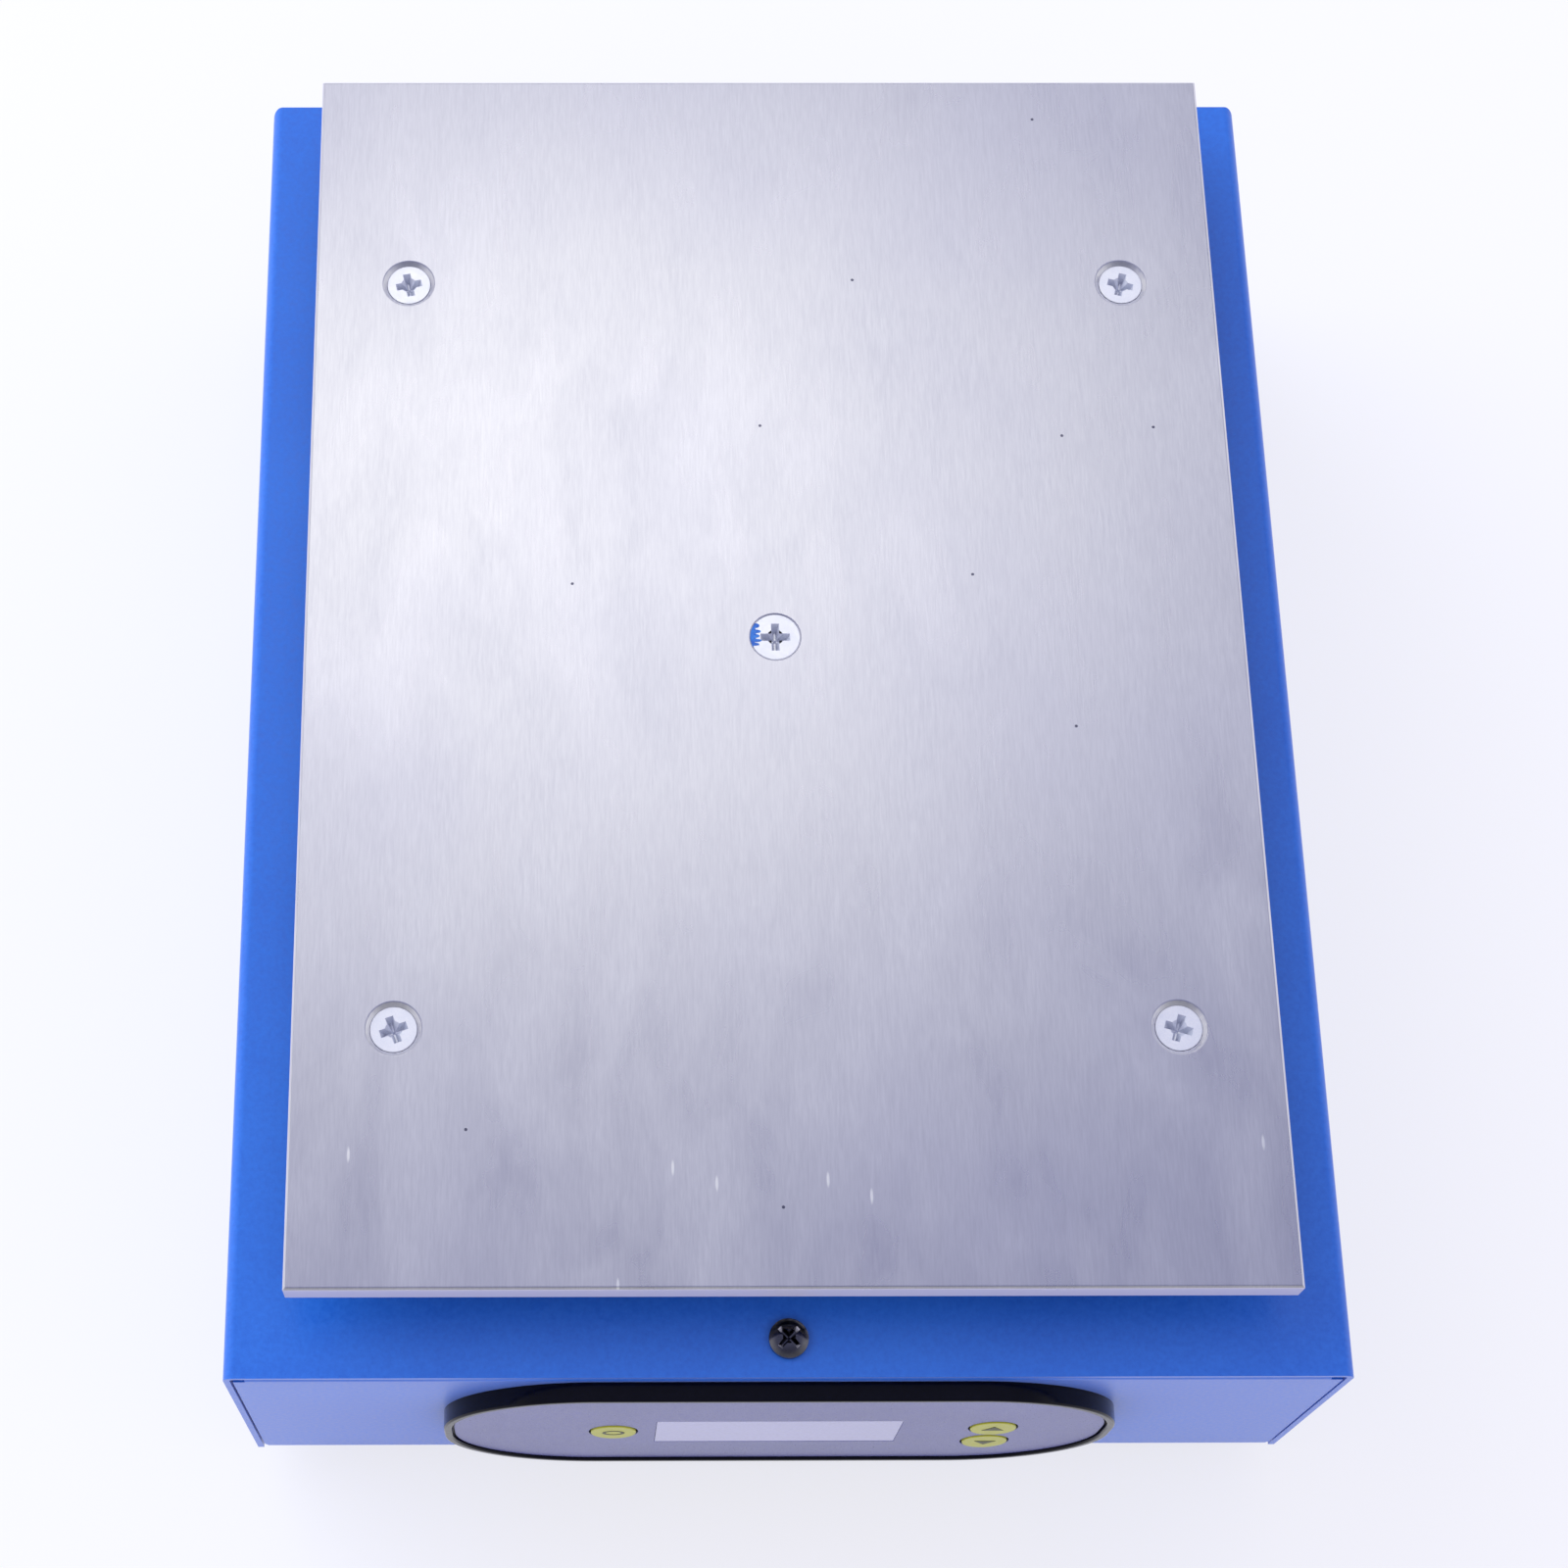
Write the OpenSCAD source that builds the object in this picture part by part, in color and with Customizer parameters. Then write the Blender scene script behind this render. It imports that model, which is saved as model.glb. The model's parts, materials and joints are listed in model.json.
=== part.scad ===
// PCB preheater: an aluminium heating plate above a folded sheet-metal casing with a temperature controller.
// Millimetres. The origin is the middle of the footprint, on the surface that the feet stand on.
// +X is right, +Y is back, +Z is up.

/* [Casing] */
// Outside width of the casing
case_w = 170; // [160:1:200]
// Outside length of the casing, front panel to rear panel
case_l = 225; // [220:1:260]
// Outside height of the casing without its feet
case_h = 58.5; // [57:0.5:75]
// Thickness of the folded sheet steel
sheet_t = 1; // [0.8:0.1:1.4]
// Outside radius of the bends in the sheet
bend_r = 1.8; // [1.6:0.1:3]
// Rounding of the cover's rear corners, seen from above
cover_corner_r = 1.5; // [0.5:0.1:3]
// Open seam between the edge of a panel and the cover's side wall
seam = 0.4; // [0.2:0.1:0.8]
// Depth of the chassis lips that carry the cover
lip_l = 14; // [12:1:20]
// Height of the chassis side lips
lip_h = 15; // [14:1:20]
// Distance of the side lips from the front and rear panels
lip_relief = 8; // [6:1:12]
// Width of the cut at the panels' lower corners
corner_cut_w = 1.1; // [0.5:0.1:2]
// Height of the cut at the panels' lower corners
corner_cut_h = 3; // [2:0.5:5]

/* [Vents] */
// Vent slots in each side wall
vent_count = 9; // [4:1:11]
// Width of a vent slot
vent_w = 3; // [2:0.5:4]
// Height of a vent slot
vent_h = 22; // [12:1:26]
// Distance from one vent slot to the next
vent_pitch = 9; // [7:0.5:12]
// Height of the slots' middle above the casing's bottom
vent_z = 36; // [32:1:42]

/* [Cover screws] */
// Distance of the front screw behind the front panel
front_screw_y = 5.7; // [5:0.1:9]
// Distance between the two screws in a side wall
side_screw_span = 150; // [100:1:190]
// Height of the side screws above the casing's bottom
side_screw_z = 9.5; // [8:0.5:11]
// Length of the threaded insert behind each screw
clinch_l = 2.5; // [2:0.1:4]
// Diameter of the threaded insert
clinch_d = 6; // [5:0.1:7]

/* [Feet] */
// Diameter of a rubber foot where it meets the casing
foot_d = 16; // [12:0.5:22]
// Diameter of a rubber foot where it stands
foot_tip_d = 13.5; // [11:0.5:20]
// Height of a rubber foot
foot_h = 7; // [6:0.5:14]
// Distance of a foot's axis from the casing's sides and ends
foot_inset = 20; // [16:1:30]
// Rubber left between the screw's head and the casing
foot_web = 2.5; // [2:0.1:3.5]

/* [Heating plate] */
// Width of the plate
plate_w = 150; // [140:1:168]
// Length of the plate
plate_l = 210; // [190:1:214]
// Thickness of the plate
plate_t = 5; // [4.5:0.5:8]
// Height of the plate's underside above the cover
plate_lift = 10; // [9.5:0.5:20]
// Distance of the plate's front edge behind the front panel
plate_setback = 10; // [10:0.5:14]
// Broken edge round the plate's top
plate_chamfer = 0.4; // [0.2:0.1:1]
// Distance between the corner screws across the plate
hole_span_x = 119; // [100:1:126]
// Distance between the corner screws along the plate
hole_span_y = 130; // [115:1:170]
// Depth of the corner screws' heads below the plate's face
corner_sink = 0.6; // [0.5:0.1:1.6]
// Depth of the middle screw's head below the plate's face
centre_sink = 0.4; // [0.1:0.05:0.5]
// Diameter of the spacers under the plate
spacer_d = 8; // [7:0.5:10]

/* [Heater] */
// Thickness of the mica heater
heater_t = 2; // [1:0.1:2.4]
// Distance of the heater's edge from the plate's edge
heater_inset = 5; // [3:0.5:12]
// Thickness of the sheet that clamps the heater
clamp_t = 1.5; // [1:0.1:1.8]
// Distance of the clamp sheet's edge from the plate's edge
clamp_inset = 7; // [5:0.5:14]
// Room left round each spacer in the heater and the clamp sheet
post_room = 1.5; // [1:0.1:2.5]
// Least width of the heater and the clamp sheet outside the spacers' holes
hole_edge = 1.5; // [1:0.1:2]
// Distance between the heater's two terminals
terminal_span = 18; // [14:1:24]
// Distance of the terminals behind the middle screw
terminal_y = 45; // [42:1:50]
// Diameter of a heater terminal
terminal_d = 6; // [5:0.1:7]
// Distance of the cable grommet behind the middle screw
grommet_y = 28; // [26:1:30]
// Bore of the cable grommet
grommet_bore = 9; // [8:0.5:10]

/* [Controller] */
// Width of the bezel
bezel_w = 105.5; // [100:0.5:130]
// Height of the bezel
bezel_h = 52.8; // [51:0.2:55]
// Corner radius of the bezel
bezel_r = 24; // [18:0.5:25]
// Distance that the bezel stands in front of the panel
bezel_proud = 3; // [2.8:0.1:4]
// Distance of the bezel's middle below the middle of the front panel
bezel_drop = 0.5; // [0:0.1:1]
// Width of the bezel's raised rim
bezel_rim = 1.3; // [1:0.1:2.5]
// Overlap of the bezel's flange on the front panel
bezel_flange = 5; // [4:0.1:6]
// Thickness of the overlay sheet
overlay_t = 0.8; // [0.5:0.1:1]
// Depth of the overlay below the bezel's rim
overlay_sink = 0.5; // [0.45:0.05:0.8]
// Width of the display window
window_w = 38.6; // [34:0.2:39]
// Height of the display window
window_h = 17.4; // [14:0.2:19]
// Distance of the window's middle below the bezel's middle
window_drop = 1.7; // [1:0.1:2]
// Width of a key
key_w = 7.2; // [6.5:0.1:9]
// Height of a key
key_h = 10; // [9:0.1:10.5]
// Distance that a key stands above the overlay
key_proud = 0.2; // [0.1:0.05:0.4]
// Travel of a key
key_travel = 0.5; // [0.2:0.05:0.8]
// Distance of the set key left of the bezel's middle
set_key_x = 26; // [25.8:0.1:29]
// Distance of the set key below the bezel's middle
set_key_drop = 1.3; // [0:0.1:3]
// Distance of the arrow keys right of the bezel's middle
arrow_key_x = 34; // [31:0.1:35]
// Distance of the pair of arrow keys below the bezel's middle
arrow_key_drop = 4.6; // [3:0.1:5]
// Distance from one arrow key to the other
arrow_key_pitch = 11.5; // [11:0.1:12]
// Distance of the control board behind the front panel's face
board_depth = 9; // [8.5:0.1:12]

/* [Rear panel] */
// Distance of the inlet left of the middle
inlet_x = 38; // [34:1:46]
// Distance of the power switch right of the middle
switch_x = 38; // [30:1:50]
// Height of both above the casing's bottom
entry_z = 29; // [28:0.5:34]
// Width of the inlet's flange
inlet_flange_w = 50; // [48:0.5:54]
// Height of the inlet's flange
inlet_flange_h = 35; // [34:0.5:40]
// Thickness of the inlet's flange
inlet_flange_t = 2.5; // [2:0.1:2.8]
// Distance between the inlet's screws
inlet_screw_span = 40; // [39:0.5:42]
// Depth of the inlet's body behind the panel's face
inlet_depth = 24; // [22:0.5:30]
// Width of the socket
socket_w = 24.4; // [24:0.1:25]
// Height of the socket
socket_h = 16.6; // [16:0.1:17]
// Depth of the socket below the flange's face
socket_depth = 17; // [15:0.5:18]
// Width of the fuse drawer's opening
drawer_w = 23; // [22.5:0.1:24]
// Height of the fuse drawer's opening
drawer_h = 7.6; // [7.4:0.1:8]
// Depth of the fuse drawer's opening below the flange's face
drawer_depth = 17; // [15:0.5:19]
// Width of the rocker
rocker_w = 10.2; // [9:0.1:12]
// Half of the rocker's height
rocker_half = 8.4; // [7.5:0.1:9]
// Height of the rocker's ends above its pivot
rocker_edge = 4.6; // [4.5:0.1:5]
// Tilt of the rocker from level, at rest in its off position
rocker_tilt = 9; // [7:0.5:10]

/* [Power electronics] */
// Width of the power board
power_w = 100; // [96:1:120]
// Length of the power board
power_l = 76; // [72:1:84]
// Thickness of both circuit boards
pcb_t = 1.6; // [1.2:0.1:2]
// Height of the power board above the floor
board_lift = 6; // [5:0.5:10]
// Width of the transformer's core
core_w = 32; // [28:0.5:36]
// Height of the transformer's core
core_h = 27; // [24:0.5:30]
// Height of the heatsink
sink_h = 26; // [20:0.5:30]
// Fins of the heatsink
fin_count = 6; // [4:1:7]
// Diameter of the capacitor
cap_d = 12; // [10:0.5:14]
// Height of the capacitor
cap_h = 20; // [16:0.5:25]
// Diameter of the inner wires
wire_d = 2.2; // [1.6:0.1:2.4]

/* [Fits] */
// Room round a screw in a plain hole, on each side
screw_room = 0.15; // [0.1:0.05:0.3]
// Room round a screw in its thread, on each side
thread_room = 0.05; // [0.02:0.01:0.1]
// Room round a moulded piece in its cut-out, on each side
panel_fit = 0.3; // [0.15:0.05:0.4]
// Room round a key in its opening, on each side
key_fit = 0.3; // [0.2:0.05:0.4]
// Room round a plunger or trunnion in its bore, on each side
running_fit = 0.05; // [0.02:0.01:0.1]

/* [Hidden] */
$fn = 48;
eps = 0.01;
through = 1;

// Screws of the M2.5, M3 and M4 sizes: shank, head diameter, head height
m25 = [2.5, 4.6, 1.8];
m3 = [3, 6, 2.2];
m4_d = 4;
m4_head_d = 7.3;
m4_nut_af = 7;
m4_nut_h = 3.2;
m3_nut_af = 5.5;
m3_nut_h = 2.4;
m4_washer_d = 9;
m4_washer_t = 0.8;
tip_past_nut = 0.6;

// Levels, from the floor up
base_z = foot_h;
floor_z = base_z + sheet_t;
top_z = base_z + case_h;
roof_z = top_z - sheet_t;
plate_z = top_z + plate_lift;
plate_top = plate_z + plate_t;
heater_z = plate_z - heater_t;
clamp_z = heater_z - clamp_t;

// The casing lies so that the whole object is centred between the bezel's rim and the rocker's raised end
pivot_in = 1;
rear_reach = ceil(100 * (rocker_edge * cos(rocker_tilt) + rocker_half * sin(rocker_tilt) - pivot_in)) / 100;
case_y = (bezel_proud - rear_reach) / 2;
front_y = case_y - case_l / 2;
rear_y = case_y + case_l / 2;
panel_w = case_w - 2 * (sheet_t + seam);
plate_y = front_y + plate_setback + plate_l / 2;
plate_posts = [for (x = [-1, 1], y = [-1, 1]) [x * hole_span_x / 2, plate_y + y * hole_span_y / 2]];
foot_posts = [
    for (x = [-1, 1], y = [-1, 1]) [x * (case_w / 2 - foot_inset), case_y + y * (case_l / 2 - foot_inset)]
];
grommet_at = [0, plate_y + grommet_y];
grommet_flange_d = grommet_bore + 6;
grommet_groove_d = grommet_bore + 3;
grommet_flange_t = 1.5;
terminal_h = clamp_t + 2.6;
lug_t = 0.8;
lug_d = 8;

// Depths of the controller, counted back from the bezel's rim
rim_y = front_y - bezel_proud;
overlay_y = rim_y + overlay_sink;
web_y = overlay_y + overlay_t;
web_t = 2;
web_back = web_y + web_t;
spigot_l = 8.2;
spigot_wall = 2;
spigot_w = bezel_w - 2 * bezel_flange;
spigot_h = bezel_h - 2 * bezel_flange;
spigot_r = bezel_r - bezel_flange;
bezel_z = base_z + case_h / 2 - bezel_drop;
boss_r = 2.8;
boss_x = 23;
boss_z = spigot_h / 2 - spigot_wall - boss_r - 1;
boss_posts = [for (x = [-1, 1], z = [-1, 1]) [x * boss_x, z * boss_z]];
board_screw_grip = 5;
board_y = front_y + board_depth;
board_back = board_y + pcb_t;
board_margin = 2.5;
lens_margin = 0.8;
lens_fit = 0.2;
pane_sink = 0.05;
pane_fit = 0.05;
module_margin = 1.6;
switch_side = 6;
switch_h = 3.5;
plunger_d = 3.4;
plunger_out = 1.2;
plunger_in = 1.2;
plunger_tip = board_y - switch_h - plunger_out;
key_flange_t = 1;
side_ears = [1.8, 0];
end_ears = [-0.5, 2.3];
set_at = [-set_key_x, -set_key_drop];
up_at = [arrow_key_x, arrow_key_pitch / 2 - arrow_key_drop];
down_at = [arrow_key_x, -arrow_key_pitch / 2 - arrow_key_drop];
key_places = [set_at, up_at, down_at];
hook_l = 10;
hook_out = 0.9;
hook_x = 18;
hook_play = 0.1;

// The inlet and the switch in the rear panel
entry_at_z = base_z + entry_z;
inlet_wall = 2.3;
socket_dz = 5;
drawer_dz = -9.8;
inlet_body_w = socket_w + 2 * inlet_wall;
inlet_body_h = 31;
pin_pitch = 7;
pin_w = 2;
pin_h = 4;
pin_rise = 4;
pin_sink = 1.5;
tab_t = 0.8;
tab_l = 8;
pin_fit = 0.05;
inlet_face = rear_y + inlet_flange_t;
inlet_back = rear_y - inlet_depth;
tabs_back = inlet_back - tab_l;
pin_places = [
    [-inlet_x - pin_pitch, entry_at_z + socket_dz - pin_rise / 2],
    [-inlet_x, entry_at_z + socket_dz + pin_rise / 2],
    [-inlet_x + pin_pitch, entry_at_z + socket_dz - pin_rise / 2]
];
drawer_fit = 0.3;
drawer_wall = 0.8;
drawer_lip = 1.4;
fuse_d = 5.2;
fuse_l = 20;
fuse_cap_l = 5;
fuse_fit = 0.2;
fuse_in = 9;
pivot_y = rear_y - pivot_in;
trunnion_r = 1.5;
trunnion_l = 0.8;
frame_opening_w = rocker_w + 0.6;
frame_opening_h = 2 * rocker_half + 2.6;
frame_wall = 1.3;
frame_body_w = frame_opening_w + 2 * frame_wall;
frame_body_h = frame_opening_h + 2 * frame_wall;
frame_lip = 1.8;
frame_flange_t = 2;
frame_hollow = 9;
frame_depth = 15;
switch_tab_w = 4.8;
switch_tab_pitch = 10;
switch_tabs_back = rear_y - frame_depth - tab_l;

// The power board, behind the controller
power_x = 5;
power_y = case_y - 8;
power_z = floor_z + board_lift;
power_top = power_z + pcb_t;
power_inset = 5;
board_spacer_d = 6;
cap_offset = 10;
power_posts = [
    for (x = [-1, 1], y = [-1, 1])
        [power_x + x * (power_w / 2 - power_inset), power_y + y * (power_l / 2 - power_inset)]
];
pole_pitch = 5;
pole_count = 4;
block_w = pole_count * pole_pitch + 1;
block_l = 9;
block_h = 11;
pole_hole_d = 3.6;
pole_hole_h = 2;
block_rear = power_y + power_l / 2 - 1;
block_wire_z = power_top + 5;
pole_x = [for (i = [0:pole_count - 1]) power_x + (i - (pole_count - 1) / 2) * pole_pitch];
power_socket_at = [power_x, power_y - power_l / 2 + 6];
socket_block = [14, 6, 7];
control_socket_drop = 8;
ribbon_w = 11;
ribbon_t = 1;
earth_at = [-22, rear_y - 52];
earth_stud_h = 10;
earth_flange_d = 7;
earth_flange_h = 1;
sink_at = [power_x + power_w / 2 - 22, power_y - 6];
sink_l = 34;
sink_base_t = 4;
fin_t = 1.6;
fin_l = 12;

// Shared shapes

// A rectangle with round corners, about the origin
module round_rect(w, h, r) {
    square([w - 2 * r, h], center = true);
    square([w, h - 2 * r], center = true);
    for (x = [-1, 1], y = [-1, 1])
        translate([x * (w / 2 - r), y * (h / 2 - r)]) circle(r);
}

// A slot with round ends, upright, about the origin
module slot(w, h) {
    square([w, h - w], center = true);
    for (y = [-1, 1])
        translate([0, y * (h - w) / 2]) circle(d = w);
}

// An oval about the origin
module oval(w, h) {
    scale([w / h, 1]) circle(d = h);
}

// A rectangle with round lower corners, standing on the origin
module cup(w, h, r) {
    translate([-w / 2, r]) square([w, h - r]);
    translate([r - w / 2, 0]) square([w - 2 * r, h]);
    for (x = [-1, 1])
        translate([x * (w / 2 - r), r]) circle(r);
}

// A folded channel standing on the origin, open at the top
module channel(w, h) {
    difference() {
        cup(w, h, bend_r);
        translate([0, sheet_t]) cup(w - 2 * sheet_t, h, bend_r - sheet_t);
    }
}

// An outline drawn in X and Z, run back from y
module along_y(y, l) {
    translate([0, y + l, 0]) rotate([90, 0, 0]) linear_extrude(l) children();
}

// An outline drawn in Y and Z, run to the right from x
module along_x(x, l) {
    translate([x, 0, 0]) rotate([90, 0, 90]) linear_extrude(l) children();
}

// A box between two corners
module box(low, high) {
    translate(low) cube(high - low);
}

// A cross recess, cut down from the origin
module cross_recess(d) {
    for (a = [0, 90])
        rotate(a) translate([-d * 0.34, -d * 0.07, -d * 0.2]) cube([d * 0.68, d * 0.14, d * 0.2 + through]);
}

// A pan-head screw: its head stands up from the origin and its shank runs down
module pan_screw(size, l) {
    head_r = size[1] / 2;
    dome = size[2] * 0.55;
    dome_r = (head_r * head_r + dome * dome) / (2 * dome);
    difference() {
        union() {
            intersection() {
                cylinder(r = head_r, h = size[2]);
                translate([0, 0, size[2] - dome_r]) sphere(dome_r);
            }
            translate([0, 0, -l]) cylinder(d = size[0], h = l + eps);
        }
        translate([0, 0, size[2]]) cross_recess(size[1]);
    }
}

// A countersunk screw with the top of its head at the origin
module flat_screw(l) {
    cone_h = (m4_head_d - m4_d) / 2;
    difference() {
        union() {
            translate([0, 0, -cone_h]) cylinder(d1 = m4_d, d2 = m4_head_d, h = cone_h);
            translate([0, 0, -l]) cylinder(d = m4_d, h = l - cone_h + eps);
        }
        cross_recess(m4_head_d);
    }
}

// A hexagon nut standing on the origin
module nut(af, h, d) {
    difference() {
        cylinder(d = af / cos(30), h = h, $fn = 6);
        translate([0, 0, -through]) cylinder(d = d + 2 * thread_room, h = h + 2 * through);
    }
}

// A round tube standing on the origin
module tube(d, bore, h) {
    difference() {
        cylinder(d = d, h = h);
        translate([0, 0, -through]) cylinder(d = bore, h = h + 2 * through);
    }
}

// A smooth path through the given points
function path_point(p, i, t) =
    let (
        a = p[max(i - 1, 0)],
        b = p[i],
        c = p[i + 1],
        d = p[min(i + 2, len(p) - 1)]
    )
    0.5 * (2 * b + (c - a) * t + (2 * a - 5 * b + 4 * c - d) * t * t + (3 * b - a - 3 * c + d) * t * t * t);
path_steps = 3;
function path(p) = concat(
    [for (i = [0:len(p) - 2], k = [0:path_steps - 1]) path_point(p, i, k / path_steps)],
    [p[len(p) - 1]]
);
function unit(v) = v / norm(v);
function heading(p, i, points) =
    i == 0 ? unit(points[1] - points[0])
    : i == len(p) - 1 ? unit(points[len(points) - 1] - points[len(points) - 2])
    : unit(p[i + 1] - p[i - 1]);

// A solid swept along a smooth path with the given outline, which side keeps upright
module sweep(points, outline, side) {
    p = path(points);
    n = len(outline);
    rings = [
        for (i = [0:len(p) - 1])
            let (t = heading(p, i, points), u = unit(cross(side, t)), v = cross(t, u))
            for (q = outline) p[i] + q[0] * u + q[1] * v
    ];
    sides = [
        for (i = [0:len(p) - 2], k = [0:n - 1])
            let (a = i * n + k, b = i * n + (k + 1) % n)
            each [[a, b + n, b], [a, a + n, b + n]]
    ];
    last = (len(p) - 1) * n;
    ends = [for (k = [1:n - 2]) each [[0, k, k + 1], [last, last + k + 1, last + k]]];
    polyhedron(rings, concat(sides, ends));
}

wire_sides = 8;
function wire_outline(d) = [
    for (k = [0:wire_sides - 1]) d / 2 * [cos(360 * k / wire_sides), sin(360 * k / wire_sides)]
];

// Casing

module chassis() {
    cut_edge = corner_cut_w + through;
    color("royalblue")
    difference() {
        union() {
            along_x(-panel_w / 2, panel_w) panel_section();
            along_y(front_y + lip_relief, case_l - 2 * lip_relief)
                translate([0, base_z]) channel(panel_w, lip_h);
        }
        for (x = [-1, 1])
            along_y(front_y - through, case_l + 2 * through) polygon([
                [x * (panel_w / 2 - corner_cut_w), base_z],
                [x * panel_w / 2, base_z + corner_cut_h],
                [x * (panel_w / 2 - corner_cut_w + cut_edge), base_z + corner_cut_h],
                [x * (panel_w / 2 - corner_cut_w + cut_edge), base_z - through],
                [x * (panel_w / 2 - corner_cut_w), base_z - through]
            ]);
        for (x = [-1, 1])
            along_y(front_y - through, case_l + 2 * through)
                translate([x * panel_w / 2, roof_z]) square(2 * bend_r, center = true);
        along_y(front_y - through, sheet_t + 2 * through) translate([0, bezel_z])
            round_rect(spigot_w + 2 * panel_fit, spigot_h + 2 * panel_fit, spigot_r + panel_fit);
        translate([0, front_y + front_screw_y, roof_z - sheet_t - through])
            cylinder(d = m3[0] + 2 * screw_room, h = sheet_t + 2 * through);
        for (x = [-1, 1], y = [-1, 1])
            translate([x * panel_w / 2, case_y + y * side_screw_span / 2, base_z + side_screw_z])
                rotate([0, 90, 0]) cylinder(d = m3[0] + 2 * screw_room, h = 4 * sheet_t, center = true);
        for (p = concat(foot_posts, power_posts))
            translate([p[0], p[1], base_z - through])
                cylinder(d = m3[0] + 2 * screw_room, h = sheet_t + 2 * through);
        translate([earth_at[0], earth_at[1], base_z - through])
            cylinder(d = m4_d + 2 * screw_room, h = sheet_t + 2 * through);
        rear_cut() square([inlet_body_w + 2 * panel_fit, inlet_body_h + 2 * panel_fit], center = true);
        for (x = [-1, 1])
            rear_cut(x * inlet_screw_span / 2) circle(d = m3[0] + 2 * screw_room);
        rear_cut(inlet_x + switch_x)
            square([frame_body_w + 2 * panel_fit, frame_body_h + 2 * panel_fit], center = true);
    }
}

// Front and rear panels with their lips, up to where the floor's side lips begin
module panel_section() {
    h = roof_z - base_z;
    difference() {
        translate([case_y, base_z + h / 2]) round_rect(case_l, h, bend_r);
        translate([case_y, base_z + h / 2])
            round_rect(case_l - 2 * sheet_t, h - 2 * sheet_t, bend_r - sheet_t);
        translate([front_y + lip_l, roof_z - sheet_t - through])
            square([case_l - 2 * lip_l, sheet_t + 2 * through]);
        translate([front_y + lip_relief, base_z - through])
            square([case_l - 2 * lip_relief, sheet_t + 2 * through]);
    }
}

// A cut through the rear panel, at a distance right of the inlet's middle
module rear_cut(dx = 0) {
    along_y(rear_y - sheet_t - through, sheet_t + 2 * through)
        translate([dx - inlet_x, entry_at_z]) children();
}

module cover() {
    color("royalblue")
    difference() {
        along_y(front_y, case_l) translate([0, top_z]) mirror([0, 1]) channel(case_w, case_h);
        for (x = [-1, 1])
            translate([x * case_w / 2, rear_y, base_z - through]) linear_extrude(case_h + 2 * through)
                difference() {
                    square(2 * cover_corner_r, center = true);
                    translate([-x * cover_corner_r, -cover_corner_r]) circle(cover_corner_r);
                }
        for (p = plate_posts)
            translate([p[0], p[1], roof_z - through])
                cylinder(d = m4_d + 2 * screw_room, h = sheet_t + 2 * through);
        translate([grommet_at[0], grommet_at[1], roof_z - through])
            cylinder(d = grommet_groove_d, h = sheet_t + 2 * through);
        translate([0, front_y + front_screw_y, roof_z - through])
            cylinder(d = m3[0] + 2 * screw_room, h = sheet_t + 2 * through);
        for (x = [-1, 1], y = [-1, 1])
            translate([x * case_w / 2, case_y + y * side_screw_span / 2, base_z + side_screw_z])
                rotate([0, 90, 0]) cylinder(d = m3[0] + 2 * screw_room, h = 4 * sheet_t, center = true);
        for (x = [-1, 1], i = [0:vent_count - 1])
            along_x(x * (case_w / 2 - sheet_t / 2) - sheet_t, 2 * sheet_t)
                translate([case_y + (i - (vent_count - 1) / 2) * vent_pitch, base_z + vent_z])
                    slot(vent_w, vent_h);
    }
}

module cover_screws() {
    color("black") {
        translate([0, front_y + front_screw_y, top_z])
            rotate(45) pan_screw(m3, 2 * sheet_t + clinch_l + tip_past_nut);
        for (x = [-1, 1], y = [-1, 1])
            translate([x * case_w / 2, case_y + y * side_screw_span / 2, base_z + side_screw_z])
                rotate([0, x * 90, 0]) pan_screw(m3, 2 * sheet_t + seam + clinch_l + tip_past_nut);
    }
}

// Threaded inserts under the front lip and inside the side lips
module clinch_nuts() {
    color("silver") {
        translate([0, front_y + front_screw_y, roof_z - sheet_t - clinch_l])
            tube(clinch_d, m3[0] + 2 * thread_room, clinch_l);
        for (x = [-1, 1], y = [-1, 1])
            translate([
                x * (panel_w / 2 - sheet_t),
                case_y + y * side_screw_span / 2,
                base_z + side_screw_z
            ]) rotate([0, -x * 90, 0]) tube(clinch_d, m3[0] + 2 * thread_room, clinch_l);
    }
}

// Feet

module feet() {
    color("dimgray")
    for (p = foot_posts)
        translate([p[0], p[1], 0]) difference() {
            cylinder(d1 = foot_tip_d, d2 = foot_d, h = foot_h);
            translate([0, 0, -through]) cylinder(d = m3[1] + 1, h = foot_h - foot_web + through);
            translate([0, 0, -through]) cylinder(d = m3[0] + 2 * screw_room, h = foot_h + 2 * through);
        }
}

module foot_screws() {
    color("silver")
    for (p = foot_posts)
        translate([p[0], p[1], foot_h - foot_web])
            rotate([180, 0, 0]) pan_screw(m3, foot_web + sheet_t + m3_nut_h + tip_past_nut);
}

module foot_nuts() {
    color("silver")
    for (p = foot_posts)
        translate([p[0], p[1], floor_z]) nut(m3_nut_af, m3_nut_h, m3[0]);
}

// Heating plate and heater

module heating_plate() {
    color("gainsboro")
    difference() {
        intersection() {
            along_y(plate_y - plate_l / 2, plate_l) plate_section(plate_w);
            along_x(-plate_w / 2, plate_w) translate([plate_y, 0]) plate_section(plate_l);
        }
        for (p = plate_posts)
            translate([p[0], p[1], plate_top]) countersink(corner_sink);
        translate([0, plate_y, plate_top]) countersink(centre_sink);
    }
}

module plate_section(w) {
    polygon([
        [-w / 2, plate_z],
        [w / 2, plate_z],
        [w / 2, plate_top - plate_chamfer],
        [w / 2 - plate_chamfer, plate_top],
        [plate_chamfer - w / 2, plate_top],
        [-w / 2, plate_top - plate_chamfer]
    ]);
}

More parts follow.
